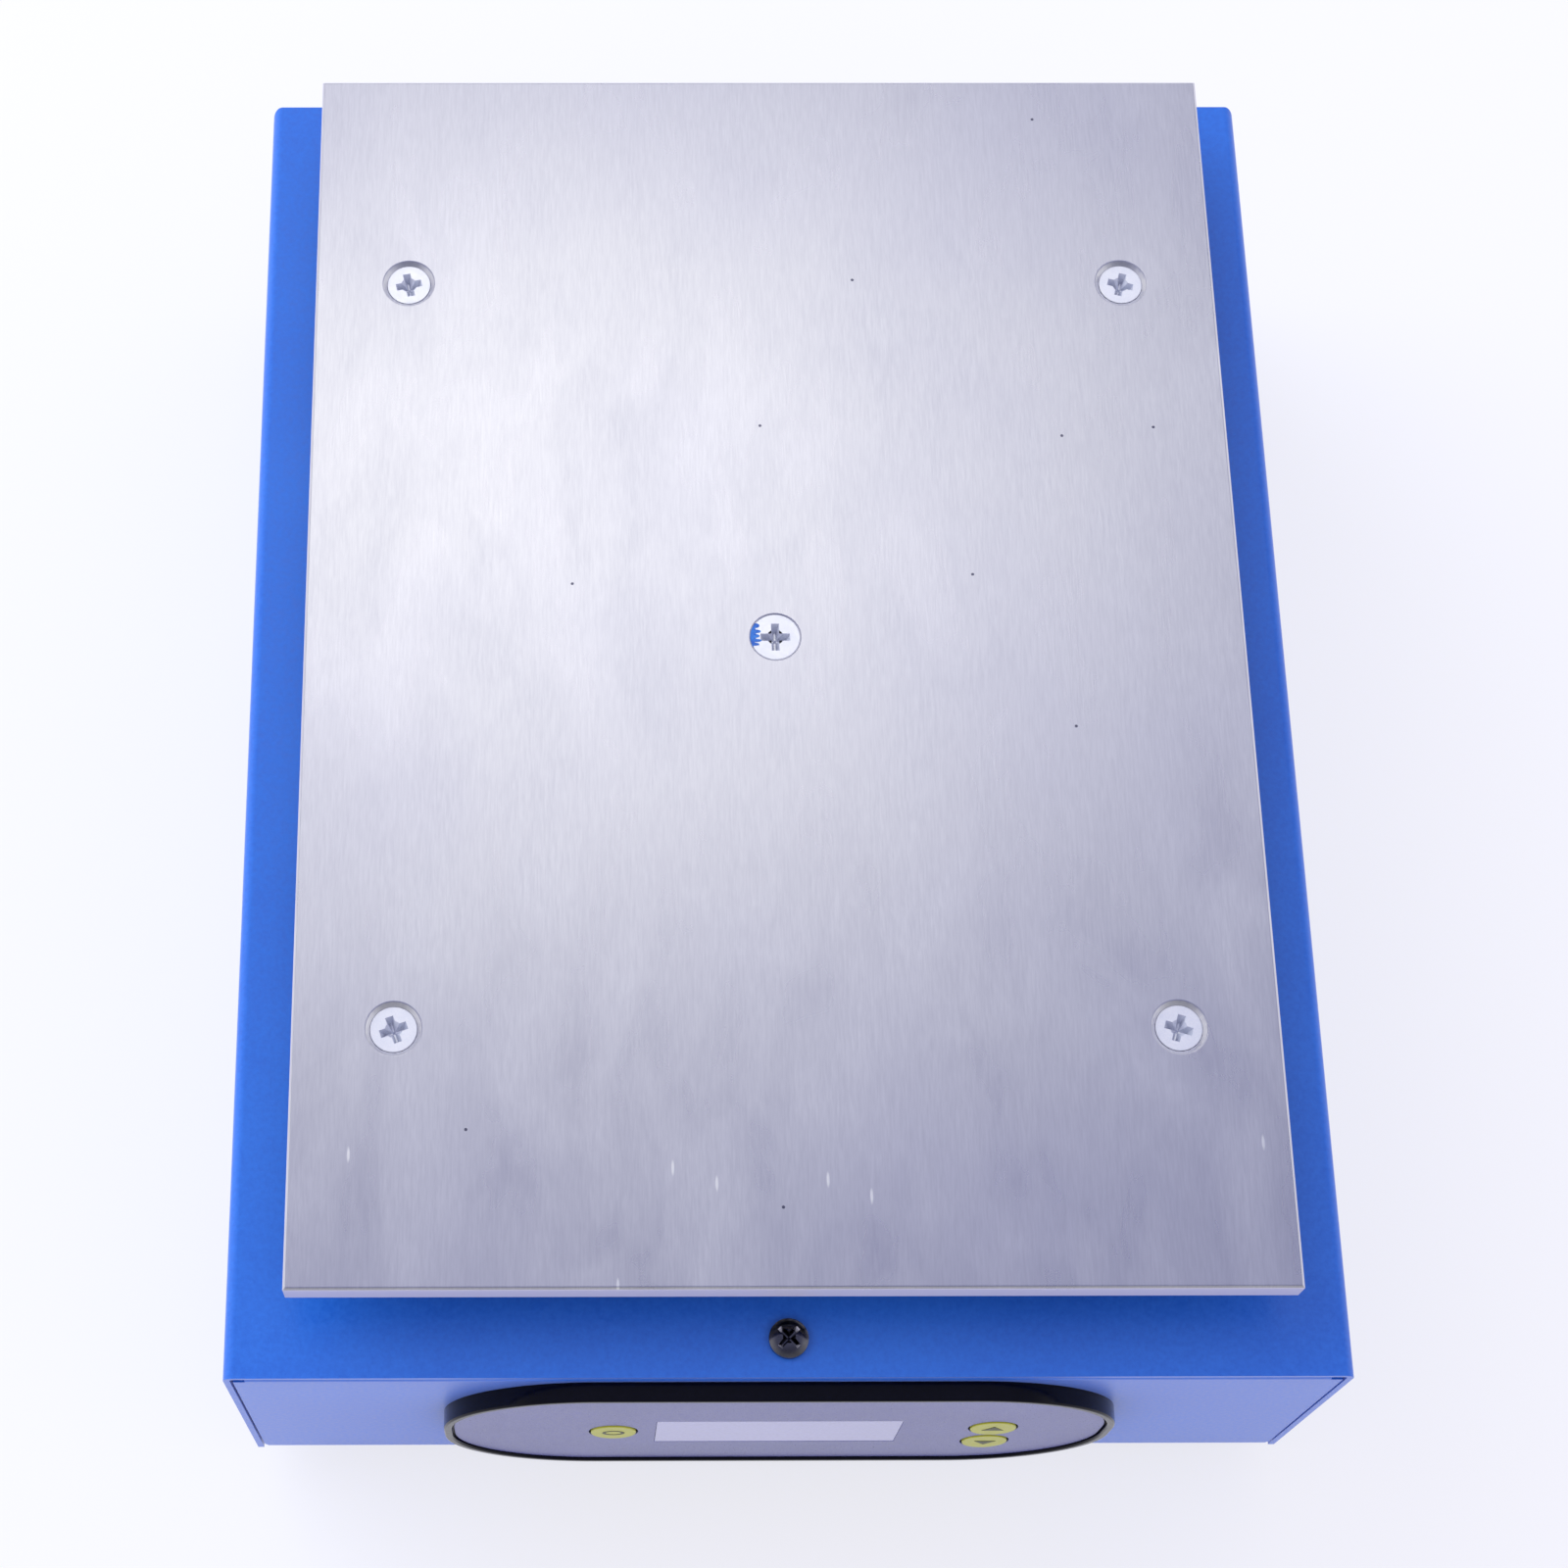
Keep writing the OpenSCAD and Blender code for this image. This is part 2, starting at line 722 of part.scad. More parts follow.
// A hole for a countersunk screw whose head lies a given depth below the origin
module countersink(sink) {
    tip_d = m4_d + 2 * thread_room;
    hole_d = m4_d + 2 * screw_room;
    cone_h = (m4_head_d - m4_d) / 2 + sink;
    cut_h = cone_h + through;
    translate([0, 0, -cone_h]) cylinder(d1 = tip_d, d2 = tip_d + 2 * cut_h, h = cut_h);
    translate([0, 0, -plate_t - through]) cylinder(d = hole_d, h = plate_t);
}

module plate_screws() {
    below = plate_t - corner_sink + plate_lift + sheet_t + m4_washer_t + m4_nut_h + tip_past_nut;
    turns = [20, 12, -17, -15];
    color("lightgray")
    for (i = [0:3])
        translate([plate_posts[i][0], plate_posts[i][1], plate_top - corner_sink])
            rotate(turns[i]) flat_screw(below);
}

module centre_screw() {
    below = plate_t - centre_sink + heater_t + clamp_t + lug_t + m4_nut_h + tip_past_nut;
    color("lightgray")
    translate([0, plate_y, plate_top - centre_sink]) flat_screw(below);
}

module plate_spacers() {
    color("silver")
    for (p = plate_posts)
        translate([p[0], p[1], top_z]) tube(spacer_d, m4_d + 2 * screw_room, plate_lift);
}

module plate_washers() {
    color("silver")
    for (p = plate_posts)
        translate([p[0], p[1], roof_z - m4_washer_t])
            tube(m4_washer_d, m4_d + 2 * screw_room, m4_washer_t);
}

module plate_nuts() {
    color("silver")
    for (p = plate_posts)
        translate([p[0], p[1], roof_z - m4_washer_t - m4_nut_h]) nut(m4_nut_af, m4_nut_h, m4_d);
}

module heater() {
    color("tan")
    sandwich_sheet(heater_z, heater_t, heater_inset);
}

module clamp_sheet() {
    color("lightsteelblue")
    difference() {
        sandwich_sheet(clamp_z, clamp_t, clamp_inset);
        translate([0, plate_y + terminal_y, clamp_z]) cube([
            terminal_span + terminal_d + 8,
            terminal_d + 8,
            3 * clamp_t
        ], center = true);
    }
}

// A sheet under the plate, holed for the spacers and the middle screw
module sandwich_sheet(z, t, inset) {
    hole_d = spacer_d + 2 * post_room;
    w = max(plate_w - 2 * inset, hole_span_x + hole_d + 2 * hole_edge);
    l = max(plate_l - 2 * inset, hole_span_y + hole_d + 2 * hole_edge);
    difference() {
        translate([0, plate_y, z]) linear_extrude(t) square([w, l], center = true);
        for (p = plate_posts)
            translate([p[0], p[1], z - through]) cylinder(d = hole_d, h = t + 2 * through);
        translate([0, plate_y, z - through]) cylinder(d = m4_d + 2 * screw_room, h = t + 2 * through);
    }
}

module heater_terminals() {
    color("gold")
    for (x = [-1, 1])
        translate([x * terminal_span / 2, plate_y + terminal_y, heater_z - terminal_h])
            cylinder(d = terminal_d, h = terminal_h);
}

sensor_barrel_d = 3;
sensor_barrel_l = 10;
sensor_barrel_y = plate_y + m4_nut_af / 2 + 2;
sensor_barrel_z = clamp_z - 0.1 - sensor_barrel_d / 2;

// A ring lug under the middle nut, with the barrel that holds the thermocouple's bead
module sensor() {
    color("silver") {
        difference() {
            union() {
                translate([0, plate_y, clamp_z - lug_t]) cylinder(d = lug_d, h = lug_t);
                box(
                    [-sensor_barrel_d / 2, plate_y, clamp_z - lug_t],
                    [sensor_barrel_d / 2, sensor_barrel_y + 2, clamp_z]
                );
            }
            translate([0, plate_y, clamp_z - lug_t - through])
                cylinder(d = m4_d + 2 * screw_room, h = lug_t + 2 * through);
        }
        translate([0, sensor_barrel_y, sensor_barrel_z])
            rotate([-90, 0, 0]) cylinder(d = sensor_barrel_d, h = sensor_barrel_l);
    }
}

module centre_nut() {
    color("silver")
    translate([0, plate_y, clamp_z - lug_t - m4_nut_h]) nut(m4_nut_af, m4_nut_h, m4_d);
}

module cable_grommet() {
    h = sheet_t + 2 * grommet_flange_t;
    color("dimgray")
    translate([grommet_at[0], grommet_at[1], roof_z - grommet_flange_t]) difference() {
        union() {
            cylinder(d = grommet_flange_d, h = grommet_flange_t);
            cylinder(d = grommet_groove_d - 2 * running_fit, h = h);
            translate([0, 0, h - grommet_flange_t]) cylinder(d = grommet_flange_d, h = grommet_flange_t);
        }
        translate([0, 0, -through]) cylinder(d = grommet_bore, h = h + 2 * through);
    }
}

// Where a lead passes the grommet: three leads share its bore
lead_ring = grommet_bore / 2 - wire_d / 2 - 0.9;
function lead_at(a) = grommet_at + lead_ring * [cos(a), sin(a)];
under_plate = clamp_z - wire_d / 2 - 0.4;

module heater_leads() {
    color("white")
    for (s = [-1, 1]) {
        g = lead_at(s < 0 ? 150 : 30);
        start_y = plate_y + terminal_y - terminal_d / 2;
        pole = s < 0 ? pole_x[0] : pole_x[1];
        sweep([
            [s * terminal_span / 2, start_y, under_plate],
            [s * terminal_span / 2, start_y - 3, under_plate],
            [g[0] + s * 1.5, g[1] + 5, under_plate - 0.4],
            [g[0], g[1], top_z + 2.5],
            [g[0], g[1], roof_z - 3],
            [g[0], g[1] + 2, roof_z - 9],
            [pole, block_rear + 12, block_wire_z + 14],
            [pole, block_rear + 6, block_wire_z],
            [pole, block_rear, block_wire_z]
        ], wire_outline(wire_d), [1, 0, 0]);
    }
}

sensor_lead_d = 1.8;

module sensor_lead() {
    g = lead_at(270);
    start_y = sensor_barrel_y + sensor_barrel_l;
    end_at = [power_socket_at[0] - socket_block[0] / 2 - 1.5, power_socket_at[1], power_top];
    color("olive")
    sweep([
        [0, start_y, sensor_barrel_z],
        [0, start_y + 3, sensor_barrel_z],
        [g[0], g[1], top_z + 2.5],
        [g[0], g[1], roof_z - 3],
        [g[0] - 4, g[1] - 6, roof_z - 9],
        [end_at[0] - 4, power_y, power_top + 35],
        [end_at[0], end_at[1] + 8, power_top + 22],
        [end_at[0], end_at[1], power_top + 8],
        [end_at[0], end_at[1], power_top]
    ], wire_outline(sensor_lead_d), [1, 0, 0]);
}

// Controller

module bezel_outline(inset) {
    translate([0, bezel_z]) round_rect(bezel_w - 2 * inset, bezel_h - 2 * inset, bezel_r - inset);
}

module window_outline(margin) {
    translate([0, bezel_z - window_drop])
        square([window_w + 2 * margin, window_h + 2 * margin], center = true);
}

module key_outline(at, room) {
    translate([at[0], bezel_z + at[1]]) oval(key_w + 2 * room, key_h + 2 * room);
}

module bezel() {
    catch_y = front_y + sheet_t + hook_play;
    color("black")
    difference() {
        union() {
            difference() {
                union() {
                    along_y(rim_y, bezel_proud) bezel_outline(0);
                    along_y(front_y - eps, spigot_l + eps) bezel_outline(bezel_flange);
                }
                along_y(web_back, board_depth + through) bezel_outline(bezel_flange + spigot_wall);
            }
            for (p = boss_posts)
                along_y(web_back - eps, board_y - web_back + eps)
                    translate([p[0], bezel_z + p[1]]) circle(boss_r);
            for (x = [-1, 1], z = [-1, 1])
                along_x(x * hook_x - hook_l / 2, hook_l) polygon([
                    [catch_y, bezel_z + z * (spigot_h / 2 - eps)],
                    [catch_y, bezel_z + z * (spigot_h / 2 + hook_out)],
                    [front_y + spigot_l, bezel_z + z * (spigot_h / 2 - eps)]
                ]);
        }
        along_y(rim_y - through, overlay_sink + overlay_t + through) bezel_outline(bezel_rim);
        along_y(web_y - through, web_t + 2 * through) window_outline(lens_margin + lens_fit);
        for (p = key_places)
            along_y(web_y - through, web_t + 2 * through) key_outline(p, key_fit);
        for (p = boss_posts)
            along_y(web_back + 1, board_y - web_back)
                translate([p[0], bezel_z + p[1]]) circle(d = m25[0] + 2 * thread_room);
    }
}

module overlay() {
    color("dimgray")
    along_y(overlay_y, overlay_t) difference() {
        bezel_outline(bezel_rim + panel_fit);
        window_outline(0);
        for (p = key_places)
            key_outline(p, key_fit);
    }
}

module display_window() {
    color("lavender") {
        along_y(web_y, web_t) window_outline(lens_margin);
        along_y(overlay_y + pane_sink, web_y - overlay_y) window_outline(-pane_fit);
    }
}

module display_module() {
    color("whitesmoke")
    along_y(web_back, board_y - web_back) window_outline(module_margin);
}

module control_board() {
    color("darkgreen")
    along_y(board_y, pcb_t) translate([0, bezel_z]) difference() {
        square([spigot_w - 2 * board_margin, spigot_h - 2 * board_margin], center = true);
        for (p = boss_posts)
            translate(p) circle(d = m25[0] + 2 * screw_room);
    }
}

chip_side = 14;
chip_t = 2;
chip_x = 20;
chip_rise = 4;

// The controller's chip, and the socket of the cable to the power board
module control_chips() {
    color("black") {
        along_y(board_back, chip_t) translate([-chip_x, bezel_z + chip_rise])
            square(chip_side, center = true);
        along_y(board_back, socket_block[1]) translate([power_x, bezel_z - control_socket_drop])
            square([socket_block[0], socket_block[2]], center = true);
    }
}

module key_switches() {
    color("black")
    for (p = key_places)
        difference() {
            along_y(board_y - switch_h, switch_h)
                translate([p[0], bezel_z + p[1]]) square(switch_side, center = true);
            along_y(board_y - switch_h - through, plunger_in + key_travel + 0.3 + through)
                translate([p[0], bezel_z + p[1]]) circle(d = plunger_d + 2 * running_fit);
        }
}

module board_screws() {
    color("silver")
    for (p = boss_posts)
        translate([p[0], board_back, bezel_z + p[1]])
            rotate([-90, 0, 0]) pan_screw(m25, pcb_t + board_screw_grip);
}

// A key with its cap in front, ears behind the web that keep it in, and a stem to its switch
module key(at, ears) {
    color("yellowgreen") {
        along_y(overlay_y - key_proud, web_back - overlay_y + key_proud) key_outline(at, 0);
        along_y(web_back, key_flange_t) translate([at[0], bezel_z + at[1]])
            square([key_w, key_h - 1] + 2 * ears, center = true);
        along_y(web_back + key_flange_t - eps, plunger_tip - web_back - key_flange_t + eps)
            translate([at[0], bezel_z + at[1]]) circle(d = plunger_d);
    }
}

// The moving button of a key's switch
module plunger(at) {
    color("gray")
    along_y(plunger_tip, plunger_out + plunger_in)
        translate([at[0], bezel_z + at[1]]) circle(d = plunger_d);
}

module set_key() { key(set_at, end_ears); }
module set_plunger() { plunger(set_at); }
module up_key() { key(up_at, side_ears); }
module up_plunger() { plunger(up_at); }
module down_key() { key(down_at, side_ears); }
module down_plunger() { plunger(down_at); }

// Inlet with its fuse drawer

// An outline drawn about the inlet's middle, run out to y from a depth behind it
module inlet_block(y, l) {
    along_y(y - l, l) translate([-inlet_x, entry_at_z]) children();
}

// The socket's outline: a rectangle with its two upper corners cut off
module socket_outline() {
    cut = 4.5;
    polygon([
        [-socket_w / 2, socket_dz - socket_h / 2],
        [socket_w / 2, socket_dz - socket_h / 2],
        [socket_w / 2, socket_dz + socket_h / 2 - cut],
        [socket_w / 2 - cut, socket_dz + socket_h / 2],
        [cut - socket_w / 2, socket_dz + socket_h / 2],
        [-socket_w / 2, socket_dz + socket_h / 2 - cut]
    ]);
}

module inlet() {
    flange_r = 3;
    color("black")
    difference() {
        union() {
            inlet_block(inlet_face, inlet_flange_t) round_rect(inlet_flange_w, inlet_flange_h, flange_r);
            inlet_block(rear_y + eps, inlet_depth + eps) square([inlet_body_w, inlet_body_h], center = true);
        }
        inlet_block(inlet_face + through, socket_depth + through) socket_outline();
        inlet_block(inlet_face + through, drawer_depth + through)
            translate([0, drawer_dz]) square([drawer_w, drawer_h], center = true);
        for (p = pin_places)
            along_y(inlet_back - through, inlet_depth) translate(p)
                square([pin_w + 2 * pin_fit, pin_h + 2 * pin_fit], center = true);
        for (x = [-1, 1])
            inlet_block(inlet_face + through, inlet_flange_t + 2 * through)
                translate([x * inlet_screw_span / 2, 0]) circle(d = m3[0] + 2 * screw_room);
    }
}

module inlet_pins() {
    color("silver")
    for (p = pin_places) {
        along_y(inlet_back, inlet_face - pin_sink - inlet_back)
            translate(p) square([pin_w, pin_h], center = true);
        along_y(tabs_back, tab_l + eps) translate(p) square([tab_t, pin_h], center = true);
    }
}

module inlet_screws() {
    color("silver")
    for (x = [-1, 1])
        translate([x * inlet_screw_span / 2 - inlet_x, inlet_face, entry_at_z])
            rotate([-90, 0, 0]) pan_screw(m3, inlet_flange_t + sheet_t + m3_nut_h + tip_past_nut);
}

module inlet_nuts() {
    color("silver")
    for (x = [-1, 1])
        translate([x * inlet_screw_span / 2 - inlet_x, rear_y - sheet_t, entry_at_z])
            rotate([90, 0, 0]) nut(m3_nut_af, m3_nut_h, m3[0]);
}

drawer_z = entry_at_z + drawer_dz;
drawer_low = drawer_z - drawer_h / 2 + drawer_fit;
fuse_z = drawer_low + drawer_wall + fuse_fit + fuse_d / 2;
fuse_y = inlet_face - fuse_in;

// A tray that carries the fuse crosswise, with a finger lip in front
module fuse_drawer() {
    half_w = drawer_w / 2 - drawer_fit;
    lip_t = 1.2;
    color("black")
    difference() {
        union() {
            box(
                [-inlet_x - half_w, inlet_face - drawer_depth + 1, drawer_low],
                [-inlet_x + half_w, inlet_face, drawer_low + drawer_h - 2 * drawer_fit]
            );
            box(
                [-inlet_x - half_w / 2, inlet_face - eps, drawer_z - lip_t / 2],
                [-inlet_x + half_w / 2, inlet_face + drawer_lip, drawer_z + lip_t / 2]
            );
        }
        box(
            [-inlet_x - fuse_l / 2 - fuse_fit, fuse_y - fuse_d / 2 - fuse_fit, drawer_low + drawer_wall],
            [-inlet_x + fuse_l / 2 + fuse_fit, fuse_y + fuse_d / 2 + fuse_fit, drawer_z + drawer_h]
        );
    }
}

module fuse() {
    color("lightblue")
    translate([-inlet_x - fuse_l / 2, fuse_y, fuse_z]) rotate([0, 90, 0]) {
        cylinder(d = fuse_d, h = fuse_cap_l);
        cylinder(d = fuse_d - 0.4, h = fuse_l);
        translate([0, 0, fuse_l - fuse_cap_l]) cylinder(d = fuse_d, h = fuse_cap_l);
    }
}

// Power switch

module switch_frame() {
    color("black")
    difference() {
        union() {
            along_y(rear_y, frame_flange_t) translate([switch_x, entry_at_z])
                round_rect(frame_body_w + 2 * frame_lip, frame_body_h + 2 * frame_lip, frame_lip);
            along_y(rear_y - frame_depth, frame_depth + eps) translate([switch_x, entry_at_z])
                square([frame_body_w, frame_body_h], center = true);
        }
        along_y(rear_y - frame_hollow, frame_hollow + frame_flange_t + through)
            translate([switch_x, entry_at_z]) square([frame_opening_w, frame_opening_h], center = true);
        along_x(switch_x - frame_body_w / 2 - through, frame_body_w + 2 * through)
            translate([pivot_y, entry_at_z]) circle(trunnion_r + running_fit);
    }
}

module switch_tabs() {
    color("silver")
    for (z = [-1, 1])
        along_y(switch_tabs_back, tab_l) translate([switch_x, entry_at_z + z * switch_tab_pitch / 2])
            square([switch_tab_w, tab_t], center = true);
}

// The rocker: two faces that meet in a shallow valley, on trunnions that turn in the frame's walls
module rocker() {
    dip = 1.2;
    shoulder = 1;
    foot_half = 4;
    foot_in = -5;
    color("black")
    translate([switch_x, pivot_y, entry_at_z]) rotate([rocker_tilt, 0, 0]) {
        along_x(-rocker_w / 2, rocker_w) polygon([
            [rocker_edge, -rocker_half],
            [rocker_edge - dip, 0],
            [rocker_edge, rocker_half],
            [shoulder, rocker_half],
            [foot_in, foot_half],
            [foot_in, -foot_half],
            [shoulder, -rocker_half]
        ]);
        along_x(-rocker_w / 2 - trunnion_l, rocker_w + 2 * trunnion_l) circle(trunnion_r);
    }
}

// Power electronics

module power_board() {
    color("darkgreen")
    difference() {
        translate([power_x - power_w / 2, power_y - power_l / 2, power_z]) cube([power_w, power_l, pcb_t]);
        for (p = power_posts)
            translate([p[0], p[1], power_z - through])
                cylinder(d = m3[0] + 2 * screw_room, h = pcb_t + 2 * through);
    }
}

module board_spacers() {
    color("white")
    for (p = power_posts)
        translate([p[0], p[1], floor_z]) tube(board_spacer_d, m3[0] + 2 * thread_room, board_lift);
}

module power_board_screws() {
    color("silver")
    for (p = power_posts)
        translate([p[0], p[1], power_top]) pan_screw(m3, pcb_t + board_lift);
}

core_stack = 14;
core_margin = 12;
core_offset = 8;
coil_out = 7;
coil_inset = 4;
coil_r = 3;

// A laminated core with its winding
module transformer() {
    core_x = power_x - power_w / 2 + core_w / 2 + core_margin;
    core_y = power_y - core_offset;
    color("peru") {
        box(
            [core_x - core_w / 2, core_y - core_stack / 2, power_top],
            [core_x + core_w / 2, core_y + core_stack / 2, power_top + core_h]
        );
        translate([core_x, core_y, power_top + coil_inset]) linear_extrude(core_h - 2 * coil_inset)
            round_rect(core_w - 2 * coil_inset, core_stack + 2 * coil_out, coil_r);
    }
}

module heatsink() {
    color("silver")
    for (i = [0:fin_count]) {
        if (i == 0)
            box(
                [sink_at[0] - sink_base_t, sink_at[1] - sink_l / 2, power_top],
                [sink_at[0], sink_at[1] + sink_l / 2, power_top + sink_h]
            );
        else
            translate([
                sink_at[0] - eps,
                sink_at[1] + (i - (fin_count + 1) / 2) * (sink_l - fin_t) / (fin_count - 1) - fin_t / 2,
                power_top
            ]) cube([fin_l + eps, fin_t, sink_h]);
    }
}

triac_t = 4.4;
triac_w = 10;
triac_h = 9;
triac_tab_t = 1.3;
triac_tab_h = 6.5;
leg_t = 0.6;
leg_w = 0.8;
leg_h = 8;
leg_pitch = 2.54;
leg_depth = 2.6;

// A flat package against the heatsink's face, with its metal tab above
module triac() {
    face_x = sink_at[0] - sink_base_t;
    body_z = power_top + leg_h;
    color("black") {
        translate([face_x - triac_t, sink_at[1] - triac_w / 2, body_z]) cube([triac_t, triac_w, triac_h]);
        translate([face_x - triac_tab_t, sink_at[1] - triac_w / 2, body_z + triac_h - eps])
            cube([triac_tab_t, triac_w, triac_tab_h]);
        for (i = [-1:1])
            translate([face_x - leg_depth, sink_at[1] + i * leg_pitch - leg_w / 2, power_top])
                cube([leg_t, leg_w, leg_h + eps]);
    }
}

module terminal_block() {
    color("green")
    difference() {
        box(
            [power_x - block_w / 2, block_rear - block_l, power_top],
            [power_x + block_w / 2, block_rear, power_top + block_h]
        );
        for (x = pole_x)
            translate([x, block_rear - block_l / 2, power_top + block_h - pole_hole_h])
                cylinder(d = pole_hole_d, h = pole_hole_h + through);
    }
}

module capacitor() {
    color("midnightblue")
    translate([power_x, power_y - cap_offset, power_top]) cylinder(d = cap_d, h = cap_h);
}

// A flat cable with a plug at each end: one on the power board, the other on the controller's socket
module ribbon_cable() {
    start = [power_socket_at[0], power_socket_at[1], power_top + socket_block[2]];
    stop = [power_x, board_back + socket_block[1], bezel_z - control_socket_drop];
    side = [1, 0, 0];
    color("gray") {
        box(
            [start[0] - socket_block[0] / 2, start[1] - socket_block[1] / 2, power_top],
            [start[0] + socket_block[0] / 2, start[1] + socket_block[1] / 2, start[2]]
        );
        sweep([
            start,
            start + [0, 0, 6],
            (start + stop) / 2 + [0, 4, 10],
            stop + [0, 8, 0],
            stop
        ], [
            [-ribbon_t / 2, -ribbon_w / 2],
            [ribbon_t / 2, -ribbon_w / 2],
            [ribbon_t / 2, ribbon_w / 2],
            [-ribbon_t / 2, ribbon_w / 2]
        ], side);
    }
}

// Inner wiring

module mains_wires() {
    live = [pin_places[2][0], tabs_back, pin_places[2][1]];
    neutral = [pin_places[0][0], tabs_back, pin_places[0][1]];
    low_tab = [switch_x, switch_tabs_back, entry_at_z - switch_tab_pitch / 2];
    high_tab = [switch_x, switch_tabs_back, entry_at_z + switch_tab_pitch / 2];
    middle = (live + low_tab) / 2;
    color("firebrick") {
        sweep([
            live,
            live + [0, -5, 0],
            [middle[0], tabs_back - 12, middle[2]],
            low_tab + [0, -7, 0],
            low_tab
        ], wire_outline(wire_d), [0, 0, 1]);
        sweep([
            high_tab,
            high_tab + [0, -7, 0],
            [pole_x[3] + 14, block_rear + 26, block_wire_z + 12],
            [pole_x[3], block_rear + 6, block_wire_z],
            [pole_x[3], block_rear, block_wire_z]
        ], wire_outline(wire_d), [0, 0, 1]);
        sweep([
            neutral,
            neutral + [0, -6, 0],
            [pole_x[2] - 24, block_rear + 24, block_wire_z + 4],
            [pole_x[2], block_rear + 7, block_wire_z],
            [pole_x[2], block_rear, block_wire_z]
        ], wire_outline(wire_d), [0, 0, 1]);
    }
}

module earth_stud() {
    color("goldenrod")
    translate([earth_at[0], earth_at[1], 0]) {
        translate([0, 0, floor_z]) cylinder(d = earth_flange_d, h = earth_flange_h);
        translate([0, 0, base_z + eps]) cylinder(d = m4_d, h = sheet_t + earth_stud_h);
    }
}

module earth_nut() {
    color("silver")
    translate([earth_at[0], earth_at[1], floor_z + earth_flange_h + lug_t]) nut(m4_nut_af, m4_nut_h, m4_d);
}

// The earth wire, from the inlet's middle pin to a ring lug on the stud
module earth_wire() {
    start = [pin_places[1][0], tabs_back, pin_places[1][1]];
    lug_z = floor_z + earth_flange_h;
    tail_y = earth_at[1] + lug_d / 2 + 4;
    color("green") {
        difference() {
            union() {
                translate([earth_at[0], earth_at[1], lug_z]) cylinder(d = lug_d, h = lug_t);
                box([earth_at[0] - 1.5, earth_at[1], lug_z], [earth_at[0] + 1.5, tail_y, lug_z + lug_t]);
                box([earth_at[0] - 1.5, tail_y - 1, lug_z], [earth_at[0] + 1.5, tail_y, lug_z + 2.6]);
            }
            translate([earth_at[0], earth_at[1], lug_z - through])
                cylinder(d = m4_d + 2 * screw_room, h = lug_t + 2 * through);
        }
        sweep([
            start,
            start + [0, -5, 0],
            [earth_at[0] - 8, tail_y + 9, entry_at_z - 8],
            [earth_at[0], tail_y + 7, lug_z + 4],
            [earth_at[0], tail_y + 3, lug_z + 1.3],
            [earth_at[0], tail_y, lug_z + 1.3]
        ], wire_outline(wire_d), [1, 0, 0]);
    }
}

chassis();
cover();
cover_screws();
clinch_nuts();
feet();
foot_screws();
foot_nuts();
heating_plate();
plate_screws();
centre_screw();
plate_spacers();
plate_washers();
plate_nuts();
heater();
heater_terminals();
clamp_sheet();
sensor();
centre_nut();
cable_grommet();
heater_leads();
sensor_lead();
bezel();
overlay();
display_window();
display_module();
control_board();
control_chips();
key_switches();
board_screws();
set_key();
set_plunger();
up_key();
up_plunger();
down_key();
down_plunger();
inlet();
inlet_pins();
inlet_screws();
inlet_nuts();
fuse_drawer();
fuse();
switch_frame();
switch_tabs();
rocker();
power_board();
board_spacers();
power_board_screws();
transformer();
heatsink();
triac();
terminal_block();
capacitor();
ribbon_cable();
mains_wires();
earth_stud();
earth_nut();
earth_wire();
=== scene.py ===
"""Dresses a bench preheater for circuit boards: folded casing, heating plate, controller, rear fittings."""
import json
from math import asin, atan, cos, pi, radians, sin

import bpy
from mathutils import Matrix, Vector


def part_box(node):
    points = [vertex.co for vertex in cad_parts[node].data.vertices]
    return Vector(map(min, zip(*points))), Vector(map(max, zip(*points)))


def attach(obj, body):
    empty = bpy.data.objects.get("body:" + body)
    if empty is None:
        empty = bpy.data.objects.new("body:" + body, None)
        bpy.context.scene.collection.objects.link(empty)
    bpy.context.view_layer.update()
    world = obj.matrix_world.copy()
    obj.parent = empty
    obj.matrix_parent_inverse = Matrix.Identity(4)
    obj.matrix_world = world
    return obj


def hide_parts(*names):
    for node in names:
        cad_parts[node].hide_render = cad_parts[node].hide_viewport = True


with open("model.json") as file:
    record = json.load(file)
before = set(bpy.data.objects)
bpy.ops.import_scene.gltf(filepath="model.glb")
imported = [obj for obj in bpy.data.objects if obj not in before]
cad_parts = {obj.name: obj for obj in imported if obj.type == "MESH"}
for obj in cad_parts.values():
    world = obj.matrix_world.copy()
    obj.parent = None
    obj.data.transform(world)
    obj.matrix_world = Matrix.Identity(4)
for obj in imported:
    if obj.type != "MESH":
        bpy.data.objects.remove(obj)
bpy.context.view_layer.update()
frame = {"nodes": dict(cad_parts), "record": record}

# Camera
# A long lens looks steeply down from in front of the object, as in the photograph.
# The picture is off the lens's middle, so the frame is shifted.
lens_data = bpy.data.cameras.new("lens")
lens_data.lens = 70.65
lens_data.sensor_width = 36
lens_data.shift_x = 0.1266
camera = bpy.data.objects.new("camera", lens_data)
camera.location = (-0.03285, -0.20322, 0.52589)
camera.rotation_euler = (radians(21.96), radians(-0.247), radians(-0.197))
bpy.context.collection.objects.link(camera)
bpy.context.scene.camera = camera
bpy.context.scene.view_settings.view_transform = "Standard"


# Table and studio light
# A white table that keeps the object's soft shadow, a white backdrop, and a dim ceiling where one bright
# cloth shows in the plate. The room in front is darker, and a large soft light stands at the back left.
def linear(code, level=1):
    """An sRGB hex colour as linear RGBA, at a level of brightness."""
    parts = [int(code[i:i + 2], 16) / 255 for i in (1, 3, 5)]
    return (*[level * (c / 12.92 if c <= 0.04045 else ((c + 0.055) / 1.055) ** 2.4) for c in parts], 1)


